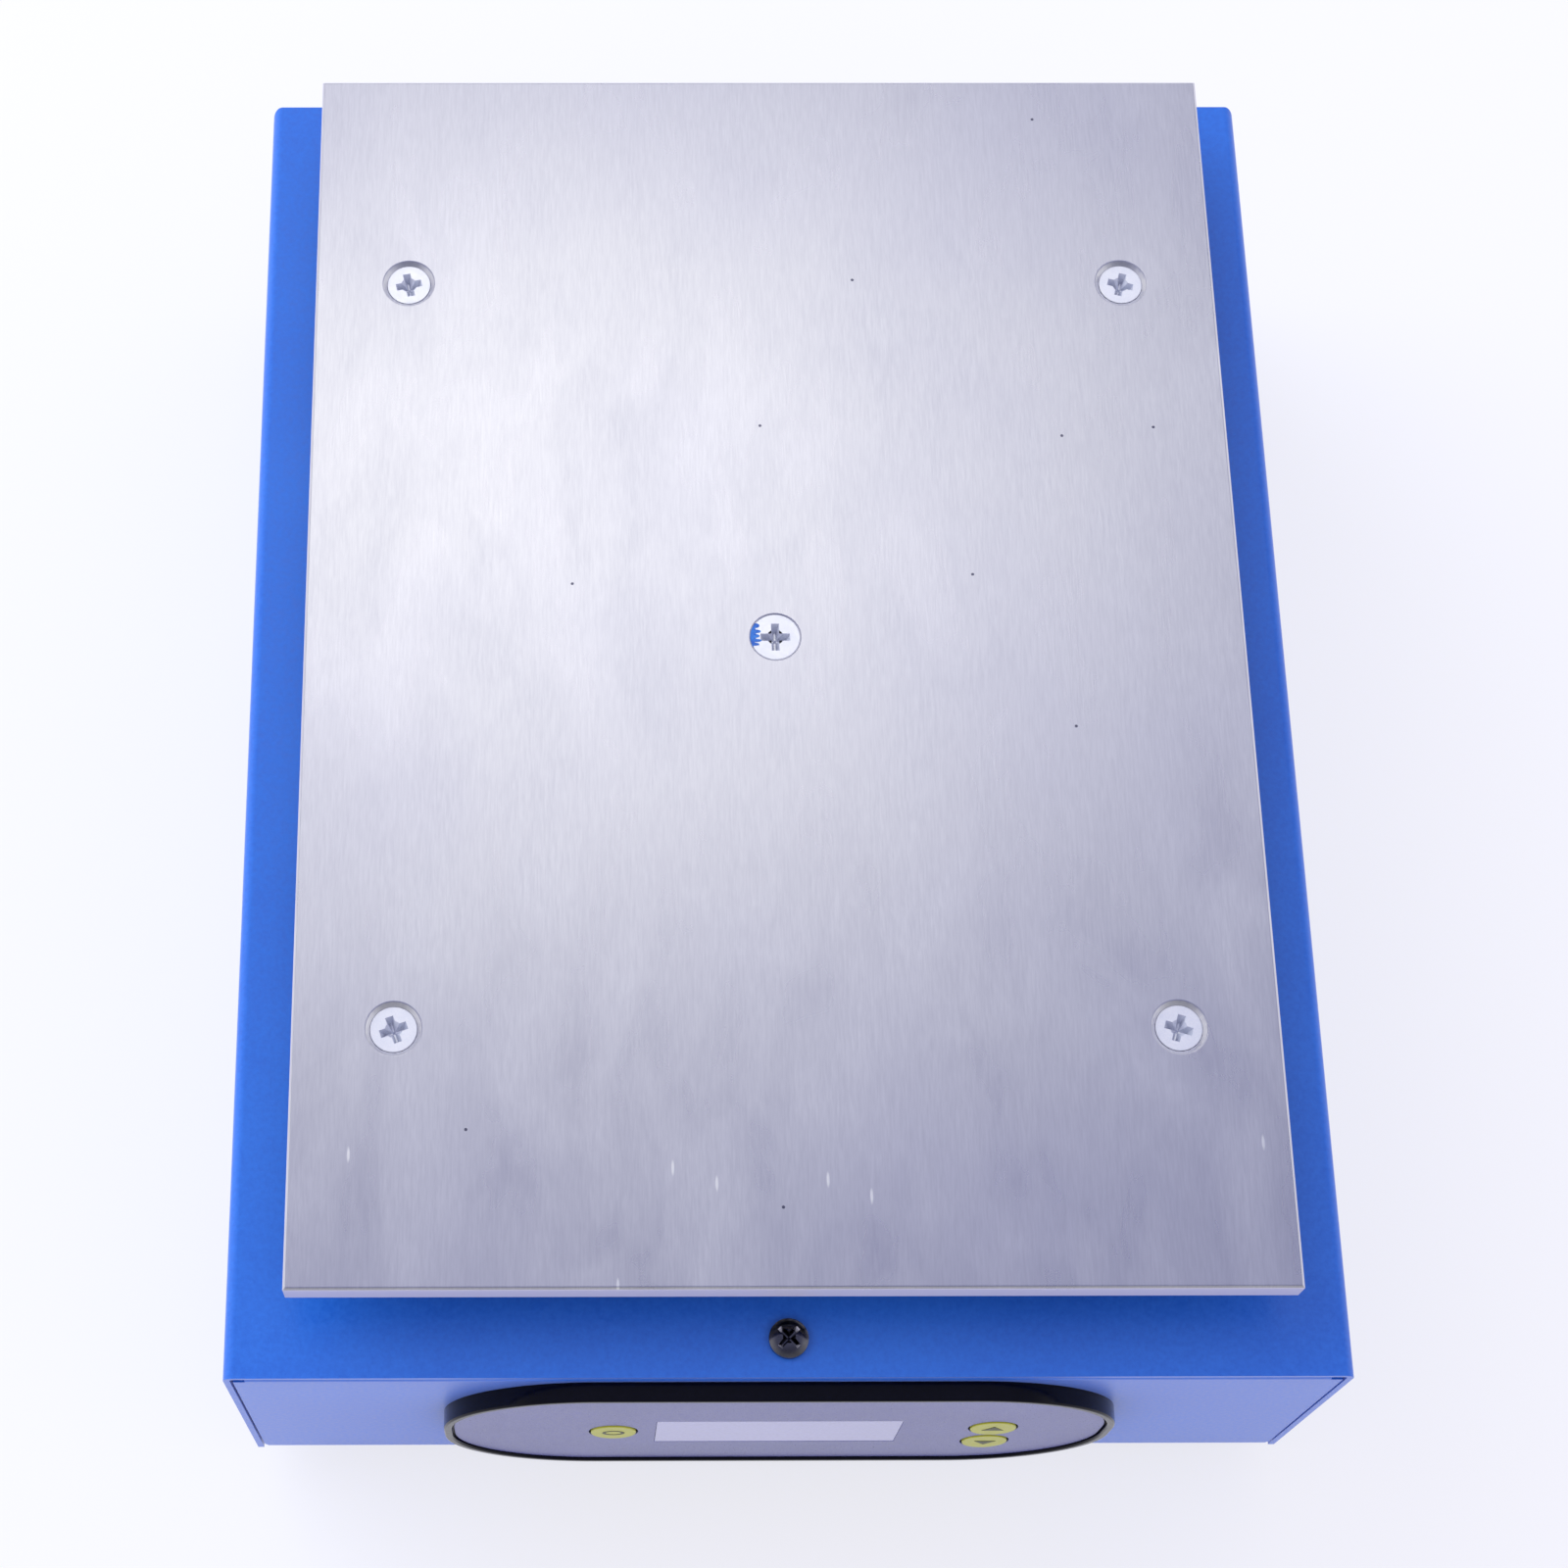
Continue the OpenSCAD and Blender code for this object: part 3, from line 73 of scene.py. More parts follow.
def add(tree, kind, values={}, links={}, **settings):
    """Adds a node with its settings, its input values and the outputs that feed it."""
    node = tree.nodes.new(kind)
    for name, value in settings.items():
        setattr(node, name, value)
    for name, value in values.items():
        node.inputs[name].default_value = value
    for name, source in links.items():
        tree.links.new(source, node.inputs[name])
    return node


def start():
    """Clears the selection before a primitive is added."""
    bpy.ops.object.select_all(action="DESELECT")


MM = 0.001
table_size = 6
table_gap = 0.05 * MM
start()
bpy.ops.mesh.primitive_plane_add(size=table_size, location=(0, 0, -table_gap))
table = bpy.context.object
table.name = "table"
table_finish = bpy.data.materials.new("white table")
table_finish.use_nodes = True
tree = table_finish.node_tree
tree.nodes.remove(tree.nodes["Principled BSDF"])
rays = add(tree, "ShaderNodeLightPath")
mirrored = add(tree, "ShaderNodeMath", {}, {
    0: rays.outputs["Is Glossy Ray"],
    1: rays.outputs["Is Transmission Ray"],
}, operation="MAXIMUM")
seen = add(tree, "ShaderNodeMath", {}, {
    0: rays.outputs["Is Camera Ray"],
    1: mirrored.outputs[0],
}, operation="MAXIMUM")
glow_share = add(tree, "ShaderNodeMath", {1: 0.7}, {0: seen.outputs[0]}, operation="MULTIPLY")
matte = add(tree, "ShaderNodeBsdfDiffuse", {"Color": linear("#f4f5ff")})
glow = add(tree, "ShaderNodeEmission", {"Color": linear("#ffffff"), "Strength": 1})
table_mix = add(tree, "ShaderNodeMixShader", {}, {
    0: glow_share.outputs[0],
    1: matte.outputs[0],
    2: glow.outputs[0],
})
tree.links.new(table_mix.outputs[0], tree.nodes["Material Output"].inputs["Surface"])
table.data.materials.append(table_finish)

world = bpy.data.worlds.new("studio")
bpy.context.scene.world = world
world.use_nodes = True
tree = world.node_tree
direction = add(tree, "ShaderNodeTexCoord").outputs["Generated"]
parts = add(tree, "ShaderNodeSeparateXYZ", {}, {0: direction})
overhead = add(tree, "ShaderNodeVectorMath", {}, {0: direction, 1: parts.outputs["Z"]}, operation="DIVIDE")
cloth_at, cloth_half = (-0.03, 0.53), (0.43, 0.28)
cloth_place = add(tree, "ShaderNodeMapping", {
    "Location": (-cloth_at[0] / cloth_half[0], -cloth_at[1] / cloth_half[1], 0),
    "Scale": (1 / cloth_half[0], 1 / cloth_half[1], 0),
}, {"Vector": overhead.outputs[0]})
cloth = add(tree, "ShaderNodeTexGradient", {}, {
    "Vector": cloth_place.outputs[0],
}, gradient_type="SPHERICAL")
cloth_share = add(tree, "ShaderNodeMapRange", {}, {
    "Value": cloth.outputs["Fac"],
}, interpolation_type="SMOOTHSTEP")
ceiling = add(tree, "ShaderNodeMix", {6: linear("#d4d8ff", 0.53), 7: linear("#fffef3", 2.75)}, {
    0: cloth_share.outputs[0],
}, data_type="RGBA")
ceiling_share = add(tree, "ShaderNodeMapRange", {"From Min": 0.3, "From Max": 0.7}, {
    "Value": parts.outputs["Z"],
}, interpolation_type="SMOOTHSTEP")
walls = add(tree, "ShaderNodeMix", {6: linear("#ffffff")}, {
    0: ceiling_share.outputs[0],
    7: ceiling.outputs[2],
}, data_type="RGBA")
front_level = add(tree, "ShaderNodeMapRange", {"From Min": -0.9, "From Max": -0.2, "To Min": 0.5}, {
    "Value": parts.outputs["Y"],
}, interpolation_type="SMOOTHSTEP")
room = add(tree, "ShaderNodeVectorMath", {}, {
    0: walls.outputs[2],
    "Scale": front_level.outputs[0],
}, operation="SCALE")
rays = add(tree, "ShaderNodeLightPath")
mirrored = add(tree, "ShaderNodeMath", {}, {
    0: rays.outputs["Is Glossy Ray"],
    1: rays.outputs["Is Transmission Ray"],
}, operation="MAXIMUM")
fill_level = add(tree, "ShaderNodeMapRange", {"From Min": -0.9, "From Max": -0.2, "To Min": 0.8}, {
    "Value": parts.outputs["Y"],
}, interpolation_type="SMOOTHSTEP")
fill = add(tree, "ShaderNodeVectorMath", {0: linear("#e9e6ff", 0.96)[:3]}, {
    "Scale": fill_level.outputs[0],
}, operation="SCALE")
light = add(tree, "ShaderNodeMix", {}, {
    0: mirrored.outputs[0],
    6: fill.outputs[0],
    7: room.outputs[0],
}, data_type="RGBA")
shown = add(tree, "ShaderNodeMix", {7: linear("#ffffff")}, {
    0: rays.outputs["Is Camera Ray"],
    6: light.outputs[2],
}, data_type="RGBA")
tree.links.new(shown.outputs[2], tree.nodes["Background"].inputs["Color"])

lamp_at, lamp_aim = Vector((-1.3, 0.9, 1.05)), Vector((0, 0, 0.04))
lamp_width, lamp_radiance = 1.8, 2.4
lamp_data = bpy.data.lights.new("left light", "AREA")
lamp_data.size = lamp_width
lamp_data.color = (0.92, 1, 1)
lamp_data.energy = pi * lamp_width * lamp_width * lamp_radiance
lamp = bpy.data.objects.new("left light", lamp_data)
lamp.location = lamp_at
lamp.rotation_euler = (lamp_at - lamp_aim).to_track_quat("Z", "Y").to_euler()
lamp.visible_glossy = False
bpy.context.collection.objects.link(lamp)


# Chassis
# The lower half of the casing: one steel sheet folded up into the front and the back, with lips that
# carry the cover. Powder coated matte blue, and the coat rounds every cut edge.
def alone(piece):
    """Selects one piece and nothing else, in object mode."""
    if bpy.context.mode != "OBJECT":
        bpy.ops.object.mode_set(mode="OBJECT")
    bpy.ops.object.select_all(action="DESELECT")
    piece.select_set(True)
    bpy.context.view_layer.objects.active = piece


def whole(node, name):
    """A copy of a CAD node with its loose triangles merged into whole faces."""
    piece = bpy.data.objects.new(name, frame["nodes"][node].data.copy())
    bpy.context.collection.objects.link(piece)
    alone(piece)
    bpy.ops.mesh.customdata_custom_splitnormals_clear()
    bpy.ops.object.mode_set(mode="EDIT")
    bpy.ops.mesh.select_all(action="SELECT")
    bpy.ops.mesh.remove_doubles(threshold=0.002 * MM)
    bpy.ops.mesh.dissolve_limited(angle_limit=radians(0.5))
    bpy.ops.object.mode_set(mode="OBJECT")
    return piece


def modify(piece, kind, **settings):
    """Applies one modifier to a piece."""
    alone(piece)
    step = piece.modifiers.new(kind.lower(), kind)
    for name, value in settings.items():
        setattr(step, name, value)
    bpy.ops.object.modifier_apply(modifier=step.name)


def smooth(piece):
    """Shades round faces smooth, and keeps flat faces flat beside narrow rounded edges."""
    alone(piece)
    bpy.ops.object.shade_smooth_by_angle(angle=radians(40))
    modify(piece, "WEIGHTED_NORMAL", weight=100, keep_sharp=True)


def break_edges(piece, width, segments=2, angle=40):
    """Rounds all the sharp edges of a piece."""
    modify(piece, "BEVEL", width=width, segments=segments, limit_method="ANGLE", angle_limit=radians(angle))
    smooth(piece)


def surface(name, colours, patch_mm, grain_mm, roughness, bump_mm, sockets={}, stretch=(1, 1, 1)):
    """A finish with faint patches between two colours, and a grain that varies its gloss and its height."""
    material = bpy.data.materials.new(name)
    material.use_nodes = True
    tree = material.node_tree
    shader = tree.nodes["Principled BSDF"]
    for socket, value in sockets.items():
        shader.inputs[socket].default_value = value
    place = add(tree, "ShaderNodeTexCoord").outputs["Object"]
    drawn = add(tree, "ShaderNodeMapping", {"Scale": stretch}, {"Vector": place}).outputs[0]
    patches = add(tree, "ShaderNodeTexNoise", {"Scale": 1 / (patch_mm * MM), "Detail": 4}, {"Vector": place})
    grain = add(tree, "ShaderNodeTexNoise", {"Scale": 1 / (grain_mm * MM), "Detail": 3}, {"Vector": drawn})
    both = add(tree, "ShaderNodeMath", {}, {0: patches.outputs[0], 1: grain.outputs[0]}, operation="ADD")
    share = add(tree, "ShaderNodeMapRange", {"From Min": 0.7, "From Max": 1.3}, {"Value": both.outputs[0]})
    paint = add(tree, "ShaderNodeMix", {6: linear(colours[0]), 7: linear(colours[1])}, {
        0: share.outputs[0],
    }, data_type="RGBA")
    gloss = add(tree, "ShaderNodeMapRange", {
        "From Min": 0.3,
        "From Max": 0.7,
        "To Min": roughness[0],
        "To Max": roughness[1],
    }, {"Value": grain.outputs[0]})
    relief = add(tree, "ShaderNodeBump", {"Strength": 1, "Distance": bump_mm * MM}, {
        "Height": grain.outputs[0],
    })
    tree.links.new(paint.outputs[2], shader.inputs["Base Color"])
    tree.links.new(gloss.outputs[0], shader.inputs["Roughness"])
    tree.links.new(relief.outputs[0], shader.inputs["Normal"])
    return material


def seat(piece, finish, body="casing", stands_for=()):
    """Gives a piece its finish, unless it was made with it, and joins it to the body that carries it."""
    if finish.name not in piece.data.materials:
        piece.data.materials.clear()
        piece.data.materials.append(finish)
    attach(piece, body)
    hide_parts(*stands_for)


# Polyester powder coat, sprayed and baked: a fine pebbled grain of about 0.7 mm with a soft sheen.
powder_coat = surface(
    "blue powder coat", ("#1a65ce", "#2274dc"), 45, 0.7, (0.3, 0.42), 0.02,
    {"IOR": 1.55, "Sheen Weight": 0.3, "Sheen Roughness": 0.4}
)
coat_edge = 0.42 * MM
chassis = whole("chassis", "chassis_coated")
break_edges(chassis, coat_edge)
seat(chassis, powder_coat, stands_for=["chassis"])

# Feet
# Four tapered buttons, moulded in natural black rubber with a dry, matte skin.
# A screw in each foot's hollow holds it to the chassis floor.
foot_edge = 0.6 * MM
rubber = surface("moulded rubber", ("#1c1c1e", "#242427"), 12, 0.5, (0.72, 0.88), 0.02, {"IOR": 1.52})
feet = whole("feet", "feet_moulded")
break_edges(feet, foot_edge, segments=3)
seat(feet, rubber, stands_for=["feet"])


# Foot screws and nuts
# M3 pan-head screws with a cross recess, cold headed from steel, and the hexagon nuts above the floor.
# Bright zinc plate makes them near white with a faint blue cast.
def pick(piece, test):
    """Goes into edit mode with those faces selected whose middle and normal pass a test."""
    alone(piece)
    bpy.ops.object.mode_set(mode="EDIT")
    bpy.ops.mesh.select_mode(type="FACE")
    bpy.ops.mesh.select_all(action="DESELECT")
    bpy.ops.object.mode_set(mode="OBJECT")
    for face in piece.data.polygons:
        face.select = bool(test(face.center, face.normal))
    bpy.ops.object.mode_set(mode="EDIT")


def made(name):
    """Names the primitive that was added last, and puts its place into its mesh."""
    piece = bpy.context.object
    piece.name = name
    alone(piece)
    bpy.ops.object.transform_apply(location=True, rotation=True, scale=True)
    return piece


def combine(piece, tool, operation):
    """Cuts a tool out of a piece, joins it on or keeps what both share, and throws the tool away."""
    modify(piece, "BOOLEAN", operation=operation, object=tool, solver="EXACT")
    bpy.data.objects.remove(tool)


def cut_cross(screw, top, reach, width, depth, finish, inner, inner_from):
    """Cuts a cross recess of two wedge-shaped wings and a pit, with its own finish from a radius on."""
    lift = 0.3 * MM
    taper = (0.62, 0.2, 1)
    for turn in (0, 90):
        start()
        bpy.ops.mesh.primitive_cube_add(size=1, location=(0, 0, (lift - depth) / 2))
        bpy.context.object.scale = (2 * reach, width, depth + lift)
        wing = made("wing")
        pick(wing, lambda middle, normal: normal.z < -0.9)
        bpy.ops.transform.resize(value=taper)
        bpy.ops.object.mode_set(mode="OBJECT")
        wing.rotation_euler = (0, 0, radians(turn))
        wing.location = (0, 0, top)
        combine(screw, made("wing"), "DIFFERENCE")
    start()
    pit_r = 0.95 * width
    bpy.ops.mesh.primitive_cone_add(
        vertices=24, radius1=0.04 * pit_r, radius2=pit_r, depth=1.2 * depth,
        location=(0, 0, top - 0.6 * depth)
    )
    combine(screw, made("pit"), "DIFFERENCE")
    screw.data.materials.append(finish)
    screw.data.materials.append(inner)

    def inside(middle, normal):
        """Whether a face is a wall of the recess."""
        return middle.xy.length < reach and top - 1.3 * depth < middle.z < top and normal.z < 0.65

    for face in screw.data.polygons:
        face.material_index = int(inside(face.center, face.normal) and face.center.xy.length > inner_from)
    worn_rim = 0.09 * MM
    pick(screw, inside)
    bpy.ops.mesh.region_to_loop()
    bpy.ops.mesh.bevel(offset=worn_rim, segments=2, affect="EDGES", clamp_overlap=True)
    bpy.ops.object.mode_set(mode="OBJECT")


m3_head_r, m3_head_h = 3 * MM, 2.2 * MM


def pan_screw(name, length, finish, inner, inner_from=0):
    """An M3 pan-head screw whose head stands up from the origin and whose shank hangs down."""
    head_r, shank_r = m3_head_r, 1.5 * MM
    land, dome = 0.45 * m3_head_h, 0.55 * m3_head_h
    dome_r = (head_r ** 2 + dome ** 2) / (2 * dome)
    dome_angle = asin(head_r / dome_r)
    steps = 6
    start()
    bpy.ops.mesh.primitive_cylinder_add(vertices=48, radius=head_r, depth=land, location=(0, 0, land / 2))
    screw = made(name)
    pick(screw, lambda middle, normal: normal.z > 0.9)
    ring_r, ring_z = head_r, land
    for step in range(1, steps):
        angle = dome_angle * (1 - step / steps)
        new_r, new_z = dome_r * sin(angle), land + dome - dome_r * (1 - cos(angle))
        bpy.ops.mesh.extrude_region_move(TRANSFORM_OT_translate={"value": (0, 0, new_z - ring_z)})
        bpy.ops.transform.resize(value=(new_r / ring_r, new_r / ring_r, 1))
        ring_r, ring_z = new_r, new_z
    pick(screw, lambda middle, normal: normal.z < -0.9)
    bpy.ops.mesh.inset(thickness=head_r - shank_r)
    bpy.ops.mesh.extrude_region_move(TRANSFORM_OT_translate={"value": (0, 0, -length)})
    bpy.ops.mesh.bevel(offset=0.3 * MM, affect="EDGES")
    bpy.ops.object.mode_set(mode="OBJECT")
    reach, width, depth = 2.4 * MM, 1.1 * MM, 1.6 * MM
    cut_cross(screw, m3_head_h, reach, width, depth, finish, inner, inner_from)
    return screw


def set_of(model, name, places):
    """Copies a model to each place, given as a matrix, and joins the copies into one piece."""
    copies = []
    for place in places:
        copy = bpy.data.objects.new(name, model.data.copy())
        copy.data.transform(place)
        bpy.context.collection.objects.link(copy)
        copies.append(copy)
    bpy.data.objects.remove(model)
    alone(copies[0])
    if len(copies) > 1:
        for copy in copies:
            copy.select_set(True)
        bpy.ops.object.join()
    copies[0].name = name
    smooth(copies[0])
    return copies[0]


def finish_nodes(slot, finish):
    """Gives every CAD node of one material slot its finish."""
    for row in frame["record"]["subparts"]:
        if row["material_slot"] == slot:
            for place in frame["nodes"][row["node"]].material_slots:
                place.material = finish


# Steel with bright zinc plate and a blue passivation: half mirror, half milky, with faint clouds.
zinc = surface(
    "bright zinc plate", ("#eceff6", "#f8f9fc"), 2.5, 0.25, (0.28, 0.4), 0.001, {"Metallic": 0.6}
)
# The recess is rougher than the head, as punched, and its slightly darker tone is painted shade in the
# recess.
dull_shaded_zinc = surface(
    "dull zinc plate with painted shade", ("#d4d8e4", "#e6e9f0"), 1.2, 0.2, (0.4, 0.55), 0.002, {"Metallic": 0.45}
)
finish_nodes("zinc_steel", zinc)
shank_low, shank_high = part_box("foot_screws")
foot_seat = shank_low[2] + m3_head_h
foot_places = [
    Matrix.Translation((x, y, foot_seat)) @ Matrix.Rotation(pi, 4, "X")
    for x in (shank_low[0] + m3_head_r, shank_high[0] - m3_head_r)
    for y in (shank_low[1] + m3_head_r, shank_high[1] - m3_head_r)
]
foot_screw = pan_screw("foot_screw", shank_high[2] - foot_seat, zinc, dull_shaded_zinc)
foot_screws = set_of(foot_screw, "foot_screws_zinc", foot_places)
seat(foot_screws, zinc, stands_for=["foot_screws"])


# Power board
# A glass-epoxy board with green solder mask on nylon pillars, with its transformer, heat sink, triac,
# terminal block and capacitor. Copper tracks show through the mask as paler lines.
def solder_mask():
    """Green mask over copper tracks, which stand a little proud and show paler."""
    material = bpy.data.materials.new("green solder mask")
    material.use_nodes = True
    tree = material.node_tree
    shader = tree.nodes["Principled BSDF"]
    shader.inputs["Roughness"].default_value = 0.35
    shader.inputs["IOR"].default_value = 1.55
    place = add(tree, "ShaderNodeTexCoord").outputs["Object"]
    track_mm = 5.08
    tracks = add(tree, "ShaderNodeTexBrick", {
        "Color1": linear("#14502c"),
        "Color2": linear("#124a29"),
        "Mortar": linear("#2a7a45"),
        "Scale": 1 / (2 * track_mm * MM),
        "Mortar Size": 0.06,
    }, {"Vector": place})
    relief = add(tree, "ShaderNodeBump", {"Strength": 1, "Distance": 0.03 * MM}, {
        "Height": tracks.outputs["Fac"],
    })
    tree.links.new(tracks.outputs["Color"], shader.inputs["Base Color"])
    tree.links.new(relief.outputs[0], shader.inputs["Normal"])
    return material


def banded(name, colours, pitch_mm, axis, roughness, bump_mm, sockets={}):
    """A finish of fine parallel bands across one axis, as rolled, drawn or stacked material has."""
    material = bpy.data.materials.new(name)
    material.use_nodes = True
    tree = material.node_tree
    shader = tree.nodes["Principled BSDF"]
    for socket, value in sockets.items():
        shader.inputs[socket].default_value = value
    place = add(tree, "ShaderNodeTexCoord").outputs["Object"]
    waves_per_unit = 20 / (2 * pi)
    bands = add(tree, "ShaderNodeTexWave", {
        "Scale": 1 / (waves_per_unit * pitch_mm * MM),
        "Distortion": 0.6,
        "Detail": 2,
    }, {"Vector": place}, bands_direction=axis)
    paint = add(tree, "ShaderNodeMix", {6: linear(colours[0]), 7: linear(colours[1])}, {
        0: bands.outputs["Fac"],
    }, data_type="RGBA")
    gloss = add(tree, "ShaderNodeMapRange", {"To Min": roughness[0], "To Max": roughness[1]}, {
        "Value": bands.outputs["Fac"],
    })
    relief = add(tree, "ShaderNodeBump", {"Strength": 1, "Distance": bump_mm * MM}, {
        "Height": bands.outputs["Fac"],
    })
    tree.links.new(paint.outputs[2], shader.inputs["Base Color"])
    tree.links.new(gloss.outputs[0], shader.inputs["Roughness"])
    tree.links.new(relief.outputs[0], shader.inputs["Normal"])
    return material


finish_nodes("board_green", solder_mask())
# Nylon, moulded: milky white with a soft sheen.
finish_nodes("spacer_nylon", surface("moulded nylon", ("#e4e2d8", "#eeece4"), 6, 0.4, (0.42, 0.55), 0.01))
# Stacked sheets of silicon steel, dipped in brown varnish: fine dark seams every half millimetre.
finish_nodes("core_iron", banded(
    "varnished laminations", ("#4a3a2a", "#6d5a44"), 0.5, "Y", (0.35, 0.5), 0.05, {"Metallic": 0.4}
))
# Aluminium pressed through a die: bright, with drawn lines along the fins.
finish_nodes("sink_aluminium", banded(
    "extruded aluminium", ("#c4c5c9", "#d9dadd"), 0.35, "X", (0.3, 0.42), 0.004, {"Metallic": 1}
))
# Polyamide, moulded green, with the faint grain of its mould.
finish_nodes("block_green", surface("moulded polyamide", ("#2a8248", "#319150"), 8, 0.4, (0.4, 0.55), 0.01))
# A PVC sleeve shrunk round the can: dark blue and glossy, a little wavy.
finish_nodes("sleeve_blue", surface("shrunk PVC sleeve", ("#1b2a66", "#22347a"), 6, 1.5, (0.2, 0.32), 0.03))
# Epoxy moulded round the chips and switches: black with a sandy mould finish.
finish_nodes("chip_black", surface("moulded epoxy", ("#1a1a1c", "#232326"), 4, 0.2, (0.5, 0.65), 0.008))

# Appliance inlet
# A flanged socket moulded in glass-filled nylon, screwed into the back, with three blades inside and
# a fuse drawer below them. Matte black with the fine grain of a spark-eroded mould.
nylon_black = surface(
    "glass-filled nylon", ("#151517", "#1e1e21"), 14, 0.3, (0.42, 0.58), 0.015, {"IOR": 1.53}
)


def round_border(piece, test, width, segments=3):
    """Rounds the border edges of the faces that pass a test."""
    pick(piece, test)
    bpy.ops.mesh.region_to_loop()
    bpy.ops.mesh.bevel(offset=width, segments=segments, affect="EDGES", clamp_overlap=True)
    bpy.ops.object.mode_set(mode="OBJECT")


near = 0.02 * MM
inlet_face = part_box("inlet")[1][1]
inlet = whole("inlet", "inlet_moulded")
round_border(
    inlet,
    lambda middle, normal: normal.y > 0.99 and middle.y > inlet_face - near,
    width=0.5 * MM
)
smooth(inlet)
seat(inlet, nylon_black, stands_for=["inlet"])

# Nickel plate on brass: warm, bright and smooth, with faint drawing marks.
nickel = surface(
    "nickel plate", ("#cfcbc0", "#dedad0"), 3, 0.3, (0.16, 0.28), 0.002, {"Metallic": 1}, (1, 0.1, 1)
)
finish_nodes("contact_metal", nickel)

screw_low, screw_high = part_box("inlet_screws")
screw_z = (screw_low[2] + screw_high[2]) / 2
inlet_screw_places = [
    Matrix.Translation((x, inlet_face, screw_z)) @ Matrix.Rotation(-pi / 2, 4, "X")
    for x in (screw_low[0] + m3_head_r, screw_high[0] - m3_head_r)
]
inlet_screw = pan_screw("inlet_screw", inlet_face - screw_low[1], zinc, dull_shaded_zinc)
inlet_screws = set_of(inlet_screw, "inlet_screws_zinc", inlet_screw_places)
seat(inlet_screws, zinc, stands_for=["inlet_screws"])

# Fuse drawer and fuse
# A nylon tray with a finger lip that slides out of the inlet, and the glass fuse that lies in it.
drawer = whole("fuse_drawer", "fuse_drawer_moulded")
round_border(
    drawer,
    lambda middle, normal: normal.y > 0.99 and middle.y > inlet_face - near,
    width=0.25 * MM,
    segments=2
)
smooth(drawer)
seat(drawer, nylon_black, "fuse_carrier", ["fuse_drawer"])
# Soda glass, drawn as a tube: clear, with slight waves.
finish_nodes("fuse_glass", surface(
    "drawn glass", ("#e8f0ee", "#f2f7f6"), 5, 1, (0.03, 0.08), 0.005,
    {"Transmission Weight": 0.85, "IOR": 1.52}
))

# Power switch
# A nylon frame snapped into the back, with a glossy ABS rocker on two trunnions.
# The rocker's faces meet in a shallow valley and carry the printed on and off marks.
frame_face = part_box("switch_frame")[1][1]
switch_frame = whole("switch_frame", "switch_frame_moulded")
round_border(
    switch_frame,
    lambda middle, normal: normal.y > 0.99 and middle.y > frame_face - near,
    width=0.5 * MM
)
smooth(switch_frame)
seat(switch_frame, nylon_black, stands_for=["switch_frame"])

gloss_abs = surface("glossy ABS", ("#101012", "#161619"), 10, 0.8, (0.1, 0.2), 0.004, {"IOR": 1.54})
rocker = whole("rocker", "rocker_moulded")
round_border(rocker, lambda middle, normal: normal.y > 0.9, width=0.4 * MM)
smooth(rocker)
seat(rocker, gloss_abs, "rocker", ["rocker"])

# White pad-printing ink: a thin, slightly raised film.
white_ink = surface("white ink", ("#e9e9ea", "#f4f4f4"), 2, 0.15, (0.45, 0.6), 0.003)
ink_t = 0.06 * MM


def ring_sign(name, radius, stroke):
    """A printed ring that faces along Y, with its middle at the origin."""
    start()
    bpy.ops.mesh.primitive_torus_add(
        major_radius=radius, minor_radius=stroke / 2, major_segments=40, minor_segments=10,
        rotation=(radians(90), 0, 0)
    )
    sign = made(name)
    sign.scale = (1, ink_t / (stroke / 2), 1)
    return made(name)


def bar_sign(name, width, length):
    """A printed upright bar that faces along Y, with its middle at the origin."""
    start()
    bpy.ops.mesh.primitive_cube_add(size=1)
    bpy.context.object.scale = (width, 2 * ink_t, length)
    sign = made(name)
    modify(sign, "BEVEL", width=ink_t / 2, segments=2)
    return sign


joints = {joint["name"]: joint for joint in frame["record"]["behaviour"]["joints"]}
pivot = Matrix.Translation(joints["rocker_tip"]["pos_m"])
rocker_tilt = Matrix.Rotation(radians(-joints["rocker_tip"]["range_deg"][0] / 2), 4, "X")
rocker_edge, rocker_half, rocker_dip = 4.6 * MM, 8.4 * MM, 1.2 * MM
mark_at = 4.6 * MM
mark_out = rocker_edge - rocker_dip + rocker_dip * mark_at / rocker_half
off_mark = ring_sign("off_mark", radius=1.45 * MM, stroke=0.56 * MM)
on_mark = bar_sign("on_mark", width=0.6 * MM, length=3.4 * MM)
for mark, side in ((off_mark, 1), (on_mark, -1)):
    slope = Matrix.Rotation(-side * atan(rocker_dip / rocker_half), 4, "X")
    mark.data.transform(pivot @ rocker_tilt @ Matrix.Translation((0, mark_out, side * mark_at)) @ slope)
    smooth(mark)
    seat(mark, white_ink, "rocker")

# Inner wiring
# PVC-covered stranded leads to the inlet and the switch, an earth lead to a brass stud on the floor,
# and a flat ribbon between the two boards. PVC has a soft sheen and slight waves.
finish_nodes("wire_red", surface("red PVC", ("#9a2722", "#ad322b"), 8, 1.2, (0.35, 0.5), 0.02))
finish_nodes("wire_earth", surface("green PVC", ("#5d8f2b", "#7aa636"), 3, 1.2, (0.35, 0.5), 0.02))
finish_nodes("wire_grey", banded("grey ribbon PVC", ("#7d7d80", "#a2a2a5"), 1.27, "X", (0.4, 0.55), 0.15))
# Brass turned on a lathe: yellow, with fine rings.
finish_nodes("terminal_brass", banded(
    "turned brass", ("#b28a3c", "#cda450"), 0.25, "Z", (0.22, 0.34), 0.004, {"Metallic": 1}
))

